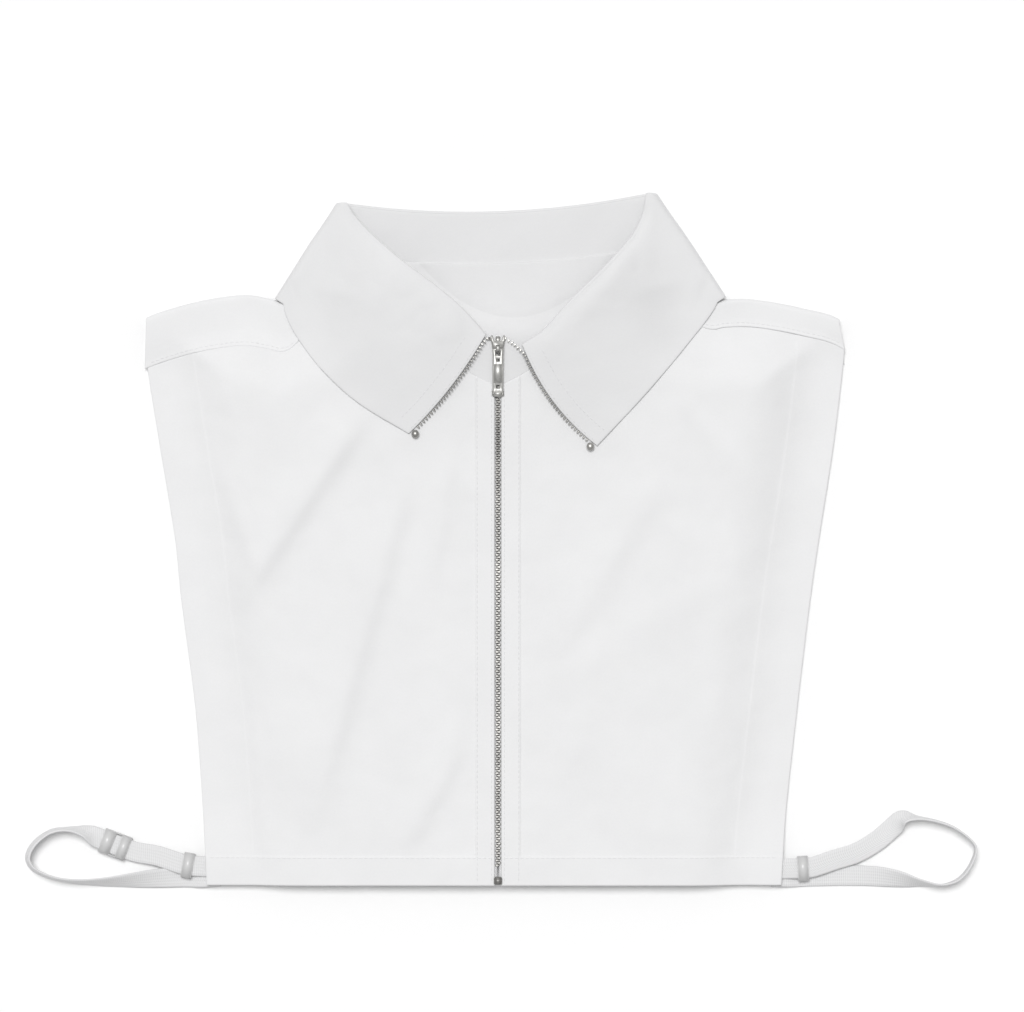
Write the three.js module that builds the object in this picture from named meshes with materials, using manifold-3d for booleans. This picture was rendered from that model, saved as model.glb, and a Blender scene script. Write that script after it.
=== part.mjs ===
// Bib collar: a shirt collar with a zip front on a short cotton bib, lying on its back.
// Millimetres. +X is the right of the bib seen from above, +Y runs towards the collar, +Z is up.
// The origin is on the flat underside of the back panel, below the zip.

import * as THREE from "three";
import { mergeVertices } from "three/addons/utils/BufferGeometryUtils.js";
import Module from "manifold-3d";

// Bib: zip to shoulder tip, hem to shoulder, hem below the origin, cloth and seam gap
const SHOULDER_HALF = 181;
const BODY_LENGTH = 304;
const HEM_DEPTH = 137;
const CLOTH = 1.2;
const SEAM_GAP = 0.3;

// Height of the front layer over the surface: at the side edges, shoulders, hem and neck
const SIDE_EDGE_LIFT = 2;
const SHOULDER_FOLD_RADIUS = 2.5;
const HEM_LOFT = 10.5;
const CHEST_RISE = 5;
const NECK_RISE = 8.5;
const LOFT_RUN = 46;
const STRAP_CORNER_LIFT = 3.7;

// Shoulder turn-over: how far the seam lies below the fold, front left, front right and back
const FRONT_SEAM_DROP_LEFT = 26;
const FRONT_SEAM_DROP_RIGHT = 14;
const BACK_SEAM_DROP = 22;

// Collar: the stand, the leaf and the gap between their middles where the leaf rolls over
const COLLAR_WALL = 1.4;
const STAND_ROLL_GAP = 0.6;
const STAND_HEIGHT = 30;
const ROLL_GAP = 2.4;
const SIDE_FOLD_RADIUS = 2.6;
const COLLAR_TOP_HALF = 82.6;
const COLLAR_RISE = 74;
const NECK_FRONT_DROP = 23;
const COLLAR_OUTER_HALF = 116.6;
const COLLAR_DROP = 74.5;
const COLLAR_POINT_DROP = 75;
const BACK_DIP = 6.8;
const BACK_LEAF_SAG = 7;
const BACK_SEAM_SAG = 4.5;
const NECK_SEAM_BELOW = 23;

// Zip: chain, tape, slider and puller
const CHAIN_HALF = 1.4;
const TOOTH_PITCH = 2.5;
const TOOTH_REACH = 0.55;
const TOOTH_GAP = 0.5;
const TEETH_THICK = 2;
const TAPE_WIDTH = 12;
const TAPE_THICK = 1;
const CHAIN_START = 5;
const SLIDER_HALF = 3.8;
const SLIDER_LENGTH = 9;
const SLIDER_PLATE = 1.2;
const PULLER_LENGTH = 24.6;
const PULLER_HALF = 2.8;
const PULLER_THICK = 1.1;
const PIN_HALF = 0.5;
const BRIDGE_HALF = 1;
const BRIDGE_OPEN = 2.65;
const BRIDGE_BAR = 0.6;
const RUN_GAP = 0.3;
const BOTTOM_STOP = 5;
const TOP_STOP_RADIUS = 2.1;

// Elastic straps at the hem corners, their keeper rings and the left adjuster slide
const STRAP_WIDTH = 10.4;
const STRAP_THICK = 1.2;
const STRAP_REACH = 92;
const STRAP_SPREAD = 31;
const RING_LENGTH = 5.6;
const RING_ROOM = 0.5;
const SLIDE_LENGTH = 14;
const SLIDE_ROOM = 0.8;
const LOOP_BAR = 0.9;

// Places that follow from the sizes
const HEM_Y = -HEM_DEPTH;
const SHOULDER_Y = HEM_Y + BODY_LENGTH;
const NECK_FRONT_Y = SHOULDER_Y - NECK_FRONT_DROP;
const COLLAR_POINT_Y = SHOULDER_Y - COLLAR_POINT_DROP;
const NECK_SEAM_Y = NECK_FRONT_Y - NECK_SEAM_BELOW;
const LEAF_BACK_Z = COLLAR_WALL / 2;
const STAND_BACK_Z = LEAF_BACK_Z + ROLL_GAP;
const ROLL_RADIUS = ROLL_GAP / 2;
const LEAF_TURN = SIDE_FOLD_RADIUS + ROLL_GAP;
const TURN_INSET = LEAF_TURN + COLLAR_WALL / 2;
const ROLL_INSET = ROLL_RADIUS + COLLAR_WALL / 2;
const ZIP_EDGE = CHAIN_HALF + RUN_GAP;

// Armhole edges: rise is a share of BODY_LENGTH above the hem, left and right of SHOULDER_HALF
const SIDE_LINE = [
  { rise: 0, left: 0.831, right: 0.808 },
  { rise: 0.122, left: 0.842, right: 0.822 },
  { rise: 0.303, left: 0.865, right: 0.855 },
  { rise: 0.487, left: 0.905, right: 0.892 },
  { rise: 0.586, left: 0.922, right: 0.916 },
  { rise: 0.743, left: 0.965, right: 0.957 },
  { rise: 0.882, left: 1.002, right: 0.985 },
  { rise: 0.937, left: 1.01, right: 0.99 },
  { rise: 0.964, left: 1.007, right: 0.978 },
];

// Shoulder folds: out is a share of SHOULDER_HALF, left and right are drops by BODY_LENGTH
const SHOULDER_LINE = [
  { out: 0.547, left: -0.043, right: -0.043 },
  { out: 0.58, left: -0.008, right: -0.008 },
  { out: 0.608, left: 0.008, right: 0.008 },
  { out: 0.645, left: 0.004, right: 0.005 },
  { out: 0.717, left: -0.003, right: 0.004 },
  { out: 0.805, left: 0.002, right: 0.011 },
  { out: 0.876, left: 0.0105, right: 0.02 },
  { out: 0.95, left: 0.023, right: 0.031 },
  { out: 1.01, left: 0.036, right: 0.05 },
];

// Front roll lines from the zip to the top corner: x by COLLAR_TOP_HALF, y by COLLAR_RISE
const ROLL_LINE = [
  { way: 0, leftX: 0.069, leftY: 0.038, rightX: 0.143, rightY: -0.032 },
  { way: 0.2, leftX: 0.218, leftY: 0.223, rightX: 0.281, rightY: 0.075 },
  { way: 0.4, leftX: 0.375, leftY: 0.372, rightX: 0.443, rightY: 0.274 },
  { way: 0.66, leftX: 0.63, leftY: 0.588, rightX: 0.699, rightY: 0.559 },
  { way: 0.9, leftX: 0.905, leftY: 0.865, rightX: 0.92, rightY: 0.86 },
  { way: 1, leftX: 1.01, leftY: 0.964, rightX: 0.992, rightY: 1.032 },
];

// Outer edges of the leaf from the point to the side crease: by COLLAR_OUTER_HALF, COLLAR_DROP
const OUTER_LINE = [
  { way: 0, leftX: 0.393, leftY: 0.051, rightX: 0.437, rightY: -0.032 },
  { way: 0.306, leftX: 0.618, leftY: 0.266, rightX: 0.621, rightY: 0.274 },
  { way: 0.548, leftX: 0.773, leftY: 0.486, rightX: 0.761, rightY: 0.525 },
  { way: 0.757, leftX: 0.883, leftY: 0.707, rightX: 0.877, rightY: 0.748 },
  { way: 1, leftX: 0.99, leftY: 0.991, rightX: 1.011, rightY: 1.005 },
];

// Main folds of the front: ends as shares of SHOULDER_HALF and of BODY_LENGTH above the hem,
// width by SHOULDER_HALF and height by HEM_LOFT
const FOLDS = [
  { x0: -0.42, y0: 0.773, x1: -0.717, y1: 0.508, width: 0.04, height: 0.17 },
  { x0: -0.293, y0: 0.637, x1: -0.509, y1: 0.18, width: 0.045, height: 0.16 },
  { x0: -0.04, y0: 0.308, x1: -0.256, y1: 0.088, width: 0.04, height: 0.1 },
  { x0: 0.433, y0: 0.671, x1: 0.176, y1: 0.417, width: 0.05, height: 0.1 },
  { x0: 0.74, y0: 0.337, x1: 0.688, y1: 0.154, width: 0.03, height: 0.1 },
];

// Strap runs: out by STRAP_REACH from the hem corner, up by STRAP_SPREAD above the hem, tilt in
// degrees (0 flat, 90 on edge), lift by STRAP_WIDTH of the low edge above the surface
const LEFT_STRAP = [
  { out: -0.08, up: 0.3, tilt: 0, lift: 0.32 },
  { out: 0.02, up: 0.31, tilt: 0, lift: 0.32 },
  { out: 0.12, up: 0.34, tilt: 0, lift: 0.33 },
  { out: 0.27, up: 0.48, tilt: 0, lift: 0.25 },
  { out: 0.4, up: 0.55, tilt: 0, lift: 0.18 },
  { out: 0.52, up: 0.68, tilt: 0, lift: 0.18 },
  { out: 0.61, up: 0.79, tilt: 2, lift: 0.14 },
  { out: 0.68, up: 0.89, tilt: 32, lift: 0.01 },
  { out: 0.77, up: 0.93, tilt: 62, lift: 0.01 },
  { out: 0.87, up: 0.89, tilt: 84, lift: 0.01 },
  { out: 0.96, up: 0.7, tilt: 90, lift: 0.01 },
  { out: 1, up: 0.46, tilt: 90, lift: 0.01 },
  { out: 0.965, up: 0.26, tilt: 90, lift: 0.01 },
  { out: 0.86, up: 0.12, tilt: 86, lift: 0.01 },
  { out: 0.74, up: 0.06, tilt: 72, lift: 0.01 },
  { out: 0.6, up: 0.05, tilt: 62, lift: 0.01 },
  { out: 0.46, up: 0.07, tilt: 46, lift: 0.01 },
  { out: 0.31, up: 0.1, tilt: 24, lift: 0.01 },
  { out: 0.16, up: 0.12, tilt: 3, lift: 0.01 },
  { out: 0.09, up: 0.12, tilt: 0, lift: 0.02 },
  { out: 0.02, up: 0.12, tilt: 0, lift: 0.145 },
  { out: -0.08, up: 0.14, tilt: 0, lift: 0.145 },
];
const RIGHT_STRAP = [
  { out: -0.06, up: 0.27, tilt: 0, lift: 0.32 },
  { out: 0.04, up: 0.27, tilt: 0, lift: 0.32 },
  { out: 0.16, up: 0.29, tilt: 0, lift: 0.32 },
  { out: 0.29, up: 0.41, tilt: 0, lift: 0.24 },
  { out: 0.42, up: 0.53, tilt: 0, lift: 0.14 },
  { out: 0.53, up: 0.72, tilt: 4, lift: 0.06 },
  { out: 0.62, up: 0.95, tilt: 14, lift: 0.02 },
  { out: 0.68, up: 1.12, tilt: 52, lift: 0.01 },
  { out: 0.76, up: 1.12, tilt: 84, lift: 0.01 },
  { out: 0.87, up: 1.06, tilt: 90, lift: 0.01 },
  { out: 0.98, up: 0.93, tilt: 90, lift: 0.01 },
  { out: 1.08, up: 0.66, tilt: 90, lift: 0.01 },
  { out: 1.06, up: 0.36, tilt: 90, lift: 0.01 },
  { out: 0.99, up: 0.1, tilt: 90, lift: 0.01 },
  { out: 0.89, up: 0, tilt: 84, lift: 0.01 },
  { out: 0.77, up: 0.04, tilt: 66, lift: 0.01 },
  { out: 0.65, up: 0.1, tilt: 34, lift: 0.01 },
  { out: 0.52, up: 0.14, tilt: 10, lift: 0.01 },
  { out: 0.36, up: 0.15, tilt: 0, lift: 0.01 },
  { out: 0.18, up: 0.14, tilt: 0, lift: 0.01 },
  { out: 0.1, up: 0.13, tilt: 0, lift: 0.02 },
  { out: 0.03, up: 0.13, tilt: 0, lift: 0.145 },
  { out: -0.06, up: 0.13, tilt: 0, lift: 0.145 },
];

// Colours
const COTTON = new THREE.Color(0.86, 0.86, 0.86);
const ELASTIC = new THREE.Color(0.8, 0.8, 0.79);
const PLASTIC = new THREE.Color(0.78, 0.78, 0.77);
const TAPE_CLOTH = new THREE.Color(0.83, 0.83, 0.82);
const NICKEL = new THREE.Color(0.55, 0.54, 0.52);

const mix = (a, b, t) => a + (b - a) * t;
const clamp01 = (t) => Math.min(1, Math.max(0, t));

function ease(from, to, value) {
  const t = clamp01((value - from) / (to - from));
  return t * t * t * (t * (6 * t - 15) + 10);
}

// A smooth value of one column of a table at a place along another column
function along(table, key, place, column) {
  const last = table.length - 1;
  let i = 0;
  while (i < last - 1 && table[i + 1][key] < place) i += 1;
  const at = (n) => table[Math.min(last, Math.max(0, n))];
  const span = table[i + 1][key] - table[i][key];
  const t = clamp01((place - table[i][key]) / span);
  const slope = (n) => {
    const before = at(n - 1);
    const after = at(n + 1);
    return (after[column] - before[column]) / (after[key] - before[key]);
  };
  const t2 = t * t;
  const t3 = t2 * t;
  return (
    (2 * t3 - 3 * t2 + 1) * table[i][column] +
    (t3 - 2 * t2 + t) * span * slope(i) +
    (3 * t2 - 2 * t3) * table[i + 1][column] +
    (t3 - t2) * span * slope(i + 1)
  );
}

const sideName = (side) => (side < 0 ? "left" : "right");

// Outline of the bib on one side (-1 left, 1 right)
function armholeX(side, y) {
  return SHOULDER_HALF * along(SIDE_LINE, "rise", (y - HEM_Y) / BODY_LENGTH, sideName(side));
}

function shoulderY(side, x) {
  const out = Math.abs(x) / SHOULDER_HALF;
  return SHOULDER_Y - BODY_LENGTH * along(SHOULDER_LINE, "out", out, sideName(side));
}

function rollPoint(side, way) {
  const x = COLLAR_TOP_HALF * along(ROLL_LINE, "way", way, `${sideName(side)}X`);
  const y = NECK_FRONT_Y + COLLAR_RISE * along(ROLL_LINE, "way", way, `${sideName(side)}Y`);
  return new THREE.Vector2(side * x, y);
}

function outerPoint(side, way) {
  const x = COLLAR_OUTER_HALF * along(OUTER_LINE, "way", way, `${sideName(side)}X`);
  const y = COLLAR_POINT_Y + COLLAR_DROP * along(OUTER_LINE, "way", way, `${sideName(side)}Y`);
  return new THREE.Vector2(side * x, y);
}

// Side crease of the collar: its direction from the top corner, the way out, and the line that
// the cloth turns round
function crease(side) {
  const top = rollPoint(side, 1);
  const foot = outerPoint(side, 1);
  const down = foot.clone().sub(top).normalize();
  const out = new THREE.Vector2(side * -down.y, side * down.x);
  if (out.x * side < 0) out.negate();
  const level = new THREE.Vector2(side, 0);
  const axisTop = top.clone().addScaledVector(level, -TURN_INSET).addScaledVector(down, ROLL_INSET);
  const axisFoot = foot.clone().addScaledVector(out, -TURN_INSET);
  return { top, foot, down, out, level, axisTop, axisFoot };
}
const CREASE = { left: crease(-1), right: crease(1) };
const creaseOf = (side) => CREASE[sideName(side)];

// Front neck seam, from the zip to the side crease
function neckCorner(side) {
  const { axisTop, down } = creaseOf(side);
  return axisTop.clone().addScaledVector(down, STAND_HEIGHT - ROLL_INSET);
}

function neckSeamY(side, x) {
  const corner = neckCorner(side);
  const share = Math.abs(x) / Math.abs(corner.x);
  return mix(NECK_SEAM_Y, corner.y, Math.pow(share, 1.3));
}

function frontSeamY(side, x) {
  const drop = side < 0 ? FRONT_SEAM_DROP_LEFT : FRONT_SEAM_DROP_RIGHT;
  const inner = Math.abs(neckCorner(side).x);
  const climb = 1 - ease(inner * 0.85, inner * 1.21, Math.abs(x));
  return shoulderY(side, Math.max(Math.abs(x), inner * 1.2)) - drop * (1 - climb) + 4 * climb;
}

function backSeamY(side, x) {
  const inner = Math.abs(neckCorner(side).x);
  const climb = 1 - ease(inner * 0.85, inner * 1.21, Math.abs(x));
  const reach = Math.max(Math.abs(x), inner * 1.2);
  return shoulderY(side, reach) - BACK_SEAM_DROP * (1 - climb) + 4 * climb;
}

// Room between the panels and the shoulder pieces where their seams curve up to the neck
function seamRoom(x) {
  const inner = neckCorner(1).x;
  const away = (Math.abs(x) - inner * 1.06) / (inner * 0.2);
  return SEAM_GAP + 9 * SEAM_GAP * Math.exp(-away * away);
}

// Distance in from the silhouette of the front layer
const SILHOUETTE = [];
for (const side of [-1, 1]) {
  const line = [];
  for (let i = 0; i <= 16; i += 1) {
    const y = HEM_Y + (BODY_LENGTH * 0.964 * i) / 16;
    line.push(new THREE.Vector2(side * armholeX(side, y), y));
  }
  for (let i = 0; i <= 12; i += 1) {
    const x = SHOULDER_HALF * mix(1.0, 0.6, i / 12);
    line.push(new THREE.Vector2(side * x, shoulderY(side, x)));
  }
  line.push(creaseOf(side).foot, creaseOf(side).top);
  SILHOUETTE.push(line);
}

function distanceTo(a, b, x, y) {
  const dx = b.x - a.x;
  const dy = b.y - a.y;
  const t = clamp01(((x - a.x) * dx + (y - a.y) * dy) / (dx * dx + dy * dy || 1));
  return Math.hypot(x - a.x - dx * t, y - a.y - dy * t);
}

function inset(x, y) {
  let nearest = Infinity;
  for (const line of SILHOUETTE) {
    for (let i = 1; i < line.length; i += 1) {
      nearest = Math.min(nearest, distanceTo(line[i - 1], line[i], x, y));
    }
  }
  return nearest;
}

// Middle of the back layer, flat on the surface and raised where the back leaf lies under it
const BACK_LIFT_LOW = SHOULDER_Y - 40;
const BACK_LIFT_HIGH = SHOULDER_Y - 26;
function backZ(x, y) {
  const inside = 1 - ease(COLLAR_OUTER_HALF * 1.02, COLLAR_OUTER_HALF * 1.28, Math.abs(x));
  const raised = ease(BACK_LIFT_LOW, BACK_LIFT_HIGH, y) * inside;
  return mix(CLOTH / 2, STAND_BACK_Z, raised);
}

// Middle of the front layer: panels, shoulders and the front of the stand
function frontZ(x, y) {
  const high = ease(SHOULDER_Y - 42, SHOULDER_Y - 7, y);
  const byCollar = 1 - ease(COLLAR_OUTER_HALF * 0.9, COLLAR_OUTER_HALF * 1.16, Math.abs(x));
  const corner = 1 - ease(0, LOFT_RUN, Math.hypot(Math.abs(x) - SHOULDER_HALF * 0.82, y - HEM_Y));
  const low = CLOTH / 2 + SIDE_EDGE_LIFT + STRAP_CORNER_LIFT * corner;
  const shoulder = CLOTH / 2 + 2 * SHOULDER_FOLD_RADIUS;
  const collar = STAND_BACK_Z + 2 * SIDE_FOLD_RADIUS;
  const edge = mix(low, mix(shoulder, collar, byCollar), high);
  const rise = (y - HEM_Y) / (NECK_FRONT_Y - HEM_Y);
  const below = Math.max(0, NECK_FRONT_Y + 6 - y) / (SHOULDER_HALF * 0.3);
  const neck = Math.exp(-below * below) * Math.exp(-Math.pow(x / (COLLAR_TOP_HALF * 1.03), 2));
  const loft = HEM_LOFT + CHEST_RISE * rise + NECK_RISE * neck;
  const share = ease(0, LOFT_RUN, inset(x, y) - TURN_INSET);
  return mix(edge, loft, share) + foldZ(x, y) * share;
}

function foldZ(x, y) {
  let z = 0;
  for (const fold of FOLDS) {
    const ax = fold.x0 * SHOULDER_HALF;
    const ay = HEM_Y + fold.y0 * BODY_LENGTH;
    const dx = (fold.x1 - fold.x0) * SHOULDER_HALF;
    const dy = (fold.y1 - fold.y0) * BODY_LENGTH;
    const t = ((x - ax) * dx + (y - ay) * dy) / (dx * dx + dy * dy);
    const off = ((x - ax) * dy - (y - ay) * dx) / Math.hypot(dx, dy);
    const ends = ease(-0.15, 0.25, t) * (1 - ease(0.75, 1.15, t));
    z += fold.height * HEM_LOFT * ends * Math.exp(-Math.pow(off / (fold.width * SHOULDER_HALF), 2));
  }
  return z * ease(ZIP_EDGE + TAPE_WIDTH * 0.5, ZIP_EDGE + TAPE_WIDTH * 2.5, Math.abs(x));
}

// Closed body from a list of vertices and quads
function bodyGeometry(vertices, quads) {
  const positions = [];
  for (const [a, b, c, d] of quads) {
    for (const n of [a, b, c, a, c, d]) positions.push(...vertices[n].toArray());
  }
  const geometry = new THREE.BufferGeometry();
  geometry.setAttribute("position", new THREE.Float32BufferAttribute(positions, 3));
  return outward(mergeVertices(geometry, 1e-4));
}

function outward(geometry) {
  const p = geometry.attributes.position;
  const index = geometry.index;
  const a = new THREE.Vector3();
  const b = new THREE.Vector3();
  const c = new THREE.Vector3();
  let volume = 0;
  for (let i = 0; i < index.count; i += 3) {
    a.fromBufferAttribute(p, index.getX(i));
    b.fromBufferAttribute(p, index.getX(i + 1));
    c.fromBufferAttribute(p, index.getX(i + 2));
    volume += a.dot(b.cross(c));
  }
  if (volume < 0) {
    for (let i = 0; i < index.count; i += 3) {
      const first = index.getX(i);
      index.setX(i, index.getX(i + 2));
      index.setX(i + 2, first);
    }
  }
  geometry.computeVertexNormals();
  return geometry;
}

// Cloth wall of an even thickness about a grid of middle points
function clothWall(rows, thickness) {
  const n = rows.length;
  const m = rows[0].length;
  const vertices = [];
  const at = (i, j) => rows[Math.min(n - 1, Math.max(0, i))][Math.min(m - 1, Math.max(0, j))];
  for (const sign of [1, -1]) {
    for (let i = 0; i < n; i += 1) {
      for (let j = 0; j < m; j += 1) {
        const across = at(i + 1, j).clone().sub(at(i - 1, j));
        const down = at(i, j + 1).clone().sub(at(i, j - 1));
        const normal = across.cross(down).normalize();
        vertices.push(at(i, j).clone().addScaledVector(normal, (sign * thickness) / 2));
      }
    }
  }
  const top = (i, j) => i * m + j;
  const low = (i, j) => n * m + i * m + j;
  const quads = [];
  for (let i = 0; i < n - 1; i += 1) {
    for (let j = 0; j < m - 1; j += 1) {
      quads.push([top(i, j), top(i + 1, j), top(i + 1, j + 1), top(i, j + 1)]);
      quads.push([low(i, j), low(i, j + 1), low(i + 1, j + 1), low(i + 1, j)]);
    }
  }
  for (let i = 0; i < n - 1; i += 1) {
    quads.push([top(i, 0), low(i, 0), low(i + 1, 0), top(i + 1, 0)]);
    quads.push([top(i + 1, m - 1), low(i + 1, m - 1), low(i, m - 1), top(i, m - 1)]);
  }
  for (let j = 0; j < m - 1; j += 1) {
    quads.push([top(0, j + 1), low(0, j + 1), low(0, j), top(0, j)]);
    quads.push([top(n - 1, j), low(n - 1, j), low(n - 1, j + 1), top(n - 1, j + 1)]);
  }
  return bodyGeometry(vertices, quads);
}

// Bar swept through a list of four-cornered sections
function sweptBar(sections) {
  const vertices = sections.flat();
  const quads = [[3, 2, 1, 0]];
  for (let i = 0; i < sections.length - 1; i += 1) {
    for (let k = 0; k < 4; k += 1) {
      const next = (k + 1) % 4;
      quads.push([4 * i + k, 4 * i + next, 4 * i + 4 + next, 4 * i + 4 + k]);
    }
  }
  const end = 4 * (sections.length - 1);
  quads.push([end, end + 1, end + 2, end + 3]);
  return bodyGeometry(vertices, quads);
}

function piece(name, geometry, color, roughness, metalness = 0) {
  const material = new THREE.MeshStandardMaterial({ color, roughness, metalness });
  const mesh = new THREE.Mesh(geometry, material);
  mesh.name = name;
  return mesh;
}

function grid(columns, rows, point) {
  const list = [];
  for (let i = 0; i <= columns; i += 1) {
    const row = [];
    for (let j = 0; j <= rows; j += 1) row.push(point(i / columns, j / rows));
    list.push(row);
  }
  return list;
}

// Front panels, from the zip edge out to the armhole and from the hem up to the neck seam
function frontPanel(side) {
  const top = (x) => Math.min(neckSeamY(side, x), frontSeamY(side, x) - seamRoom(x));
  const points = grid(13, 18, (u, v) => {
    const spread = Math.pow(u, 1.08);
    let x = mix(ZIP_EDGE, SHOULDER_HALF, spread);
    let y = 0;
    for (let pass = 0; pass < 4; pass += 1) {
      y = mix(HEM_Y, top(x), v);
      x = mix(ZIP_EDGE, armholeX(side, y), spread);
    }
    return new THREE.Vector3(side * x, y, frontZ(side * x, y));
  });
  return piece(`front_panel_${sideName(side)}`, clothWall(points, CLOTH), COTTON, 0.85);
}

// Back panel, flat on the surface
function backNeckY(x) {
  const left = neckCorner(-1);
  const right = neckCorner(1);
  const g = clamp01((x - left.x) / (right.x - left.x));
  return mix(left.y, right.y, g) - BACK_SEAM_SAG * 4 * g * (1 - g);
}

function backPanel() {
  const seam = (x) => backSeamY(Math.sign(x) || 1, x) - 2.8 * seamRoom(x);
  const inner = neckCorner(1).x;
  const top = (x) => {
    const neck = 1 - ease(inner * 0.7, inner * 0.9, Math.abs(x));
    return mix(seam(x), backNeckY(x) - SEAM_GAP, neck);
  };
  const points = grid(22, 9, (u, v) => {
    const side = u < 0.5 ? -1 : 1;
    const share = Math.abs(2 * u - 1);
    const height = 1 - Math.pow(1 - v, 1.5);
    let x = side * SHOULDER_HALF * share;
    let y = 0;
    for (let pass = 0; pass < 4; pass += 1) {
      y = mix(HEM_Y, top(x), height);
      x = side * share * armholeX(side, y);
    }
    return new THREE.Vector3(x, y, backZ(x, y));
  });
  return piece("back_panel", clothWall(points, CLOTH), COTTON, 0.85);
}

// Shoulder pieces, from the front seam over the fold to the back seam
function shoulder(side) {
  const inner = Math.abs(neckCorner(side).x);
  const points = grid(7, 9, (u, v) => {
    const seamX = mix(inner * 0.97, armholeX(side, SHOULDER_Y - BODY_LENGTH * 0.08), u);
    const foldX = mix(inner * 1.06, SHOULDER_HALF * (side < 0 ? 1.004 : 0.975), u);
    const foldY = shoulderY(side, foldX) - CLOTH / 2;
    const low = frontSeamY(side, seamX) + SEAM_GAP;
    const back = backSeamY(side, seamX);
    const guess = SHOULDER_FOLD_RADIUS;
    const upper = frontZ(side * foldX, foldY - guess);
    const lower = backZ(foldX, foldY - guess);
    const radius = (upper - lower) / 2;
    const centre = foldY - radius;
    if (v < 0.33) {
      const t = v / 0.33;
      const x = mix(seamX, foldX, t);
      const y = mix(low, centre, t);
      return new THREE.Vector3(side * x, y, mix(frontZ(side * x, y), upper, t));
    }
    if (v > 0.67) {
      const t = (v - 0.67) / 0.33;
      const x = mix(foldX, seamX, t);
      const y = mix(centre, back, t);
      return new THREE.Vector3(side * x, y, mix(lower, backZ(x, y), t));
    }
    const turn = (Math.PI * (v - 0.33)) / 0.34;
    const y = centre + radius * Math.sin(turn);
    return new THREE.Vector3(side * foldX, y, (upper + lower) / 2 + radius * Math.cos(turn));
  });
  return piece(`shoulder_${sideName(side)}`, clothWall(points, CLOTH), COTTON, 0.85);
}

// Stations round the collar from the left zip edge over the back to the right zip edge
const FRONT_STEPS = 8;
const TURN_STEPS = 4;
const BACK_STEPS = 9;
function collarStations() {
  const list = [];
  for (const way of steps(FRONT_STEPS)) list.push({ kind: "front", side: -1, way });
  for (const way of steps(TURN_STEPS)) list.push({ kind: "turn", side: -1, way });
  for (const way of steps(BACK_STEPS)) list.push({ kind: "back", way });
  for (const way of steps(TURN_STEPS).reverse()) list.push({ kind: "turn", side: 1, way });
  for (const way of steps(FRONT_STEPS).reverse()) list.push({ kind: "front", side: 1, way });
  return list.filter((s) => s.kind !== "turn" || (s.way > 0 && s.way < 1));
}

function steps(count) {
  return Array.from({ length: count + 1 }, (_, i) => i / count);
}

// Plan places of the roll, the outer edge and the stand's seam at a station
const EDGE_BOW = { left: 2.2, right: 4.4 };
function stationPlan(station) {
  const { kind, side, way } = station;
  if (kind === "front") {
    const { axisTop, axisFoot } = creaseOf(side);
    const near = (from, to) => from.lerp(to, ease(0.8, 1, way));
    const outer = near(outerPoint(side, way * 0.98), axisFoot);
    const roll = rollPoint(side, way * 0.97);
    const inward = outer.clone().sub(roll).normalize().multiplyScalar(ROLL_INSET);
    const corner = neckCorner(side);
    const seamX = side * mix(ZIP_EDGE, Math.abs(corner.x), way);
    const seam = new THREE.Vector2(seamX, neckSeamY(side, seamX));
    return { roll: near(roll.add(inward), axisTop), outer, seam };
  }
  const left = creaseOf(-1);
  const right = creaseOf(1);
  if (kind === "turn") {
    const own = creaseOf(side);
    return { roll: own.axisTop.clone(), outer: own.axisFoot.clone(), seam: neckCorner(side) };
  }
  const dip = 4 * way * (1 - way);
  const roll = left.axisTop.clone().lerp(right.axisTop, way);
  const outer = left.axisFoot.clone().lerp(right.axisFoot, way);
  const seam = neckCorner(-1).lerp(neckCorner(1), way);
  roll.y -= BACK_DIP * dip;
  outer.y -= BACK_LEAF_SAG * dip;
  seam.y -= BACK_SEAM_SAG * dip;
  return { roll, outer, seam };
}

// Point at a plan place of a station, raised out of the stand's layer by a height
function collarPoint(station, plan, height) {
  const { kind, side, way } = station;
  if (kind === "front") {
    const layer = frontZ(plan.x, plan.y);
    const short = Math.max(0, STAND_BACK_Z + 2 * SIDE_FOLD_RADIUS - layer);
    return new THREE.Vector3(plan.x, plan.y, layer + short * ease(0.75, 1, way) + height);
  }
  if (kind === "back") return new THREE.Vector3(plan.x, plan.y, STAND_BACK_Z - height);
  const own = creaseOf(side);
  const fallen = plan.clone().sub(own.top).dot(own.down) / own.foot.distanceTo(own.top);
  const out = own.level.clone().lerp(own.out, ease(0, 0.7, fallen)).normalize();
  const radius = SIDE_FOLD_RADIUS + height;
  const reach = radius * Math.sin(Math.PI * way);
  const z = STAND_BACK_Z + SIDE_FOLD_RADIUS + radius * Math.cos(Math.PI * way);
  return new THREE.Vector3(plan.x + out.x * reach, plan.y + out.y * reach, z);
}

// Collar leaf: rolls over the stand's top edge and falls to its outer edge
const LEAF_ROWS = 6;
const ROLL_ROWS = 4;
function leafPoint(station, row) {
  const { roll, outer } = stationPlan(station);
  if (row < ROLL_ROWS) {
    const turn = (Math.PI * row) / ROLL_ROWS;
    const towards = roll.clone().sub(outer).normalize();
    const plan = roll.addScaledVector(towards, ROLL_RADIUS * Math.sin(turn));
    return collarPoint(station, plan, ROLL_RADIUS * (1 - Math.cos(turn)));
  }
  const t = (row - ROLL_ROWS) / LEAF_ROWS;
  const plan = roll.clone().lerp(outer, t);
  if (station.kind === "front") {
    const bow = EDGE_BOW[sideName(station.side)] * 4 * t * (1 - t) * (1 - ease(0, 0.5, station.way));
    plan.x -= station.side * bow * 0.79;
    plan.y -= bow * 0.62;
  }
  return collarPoint(station, plan, ROLL_GAP);
}

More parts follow.
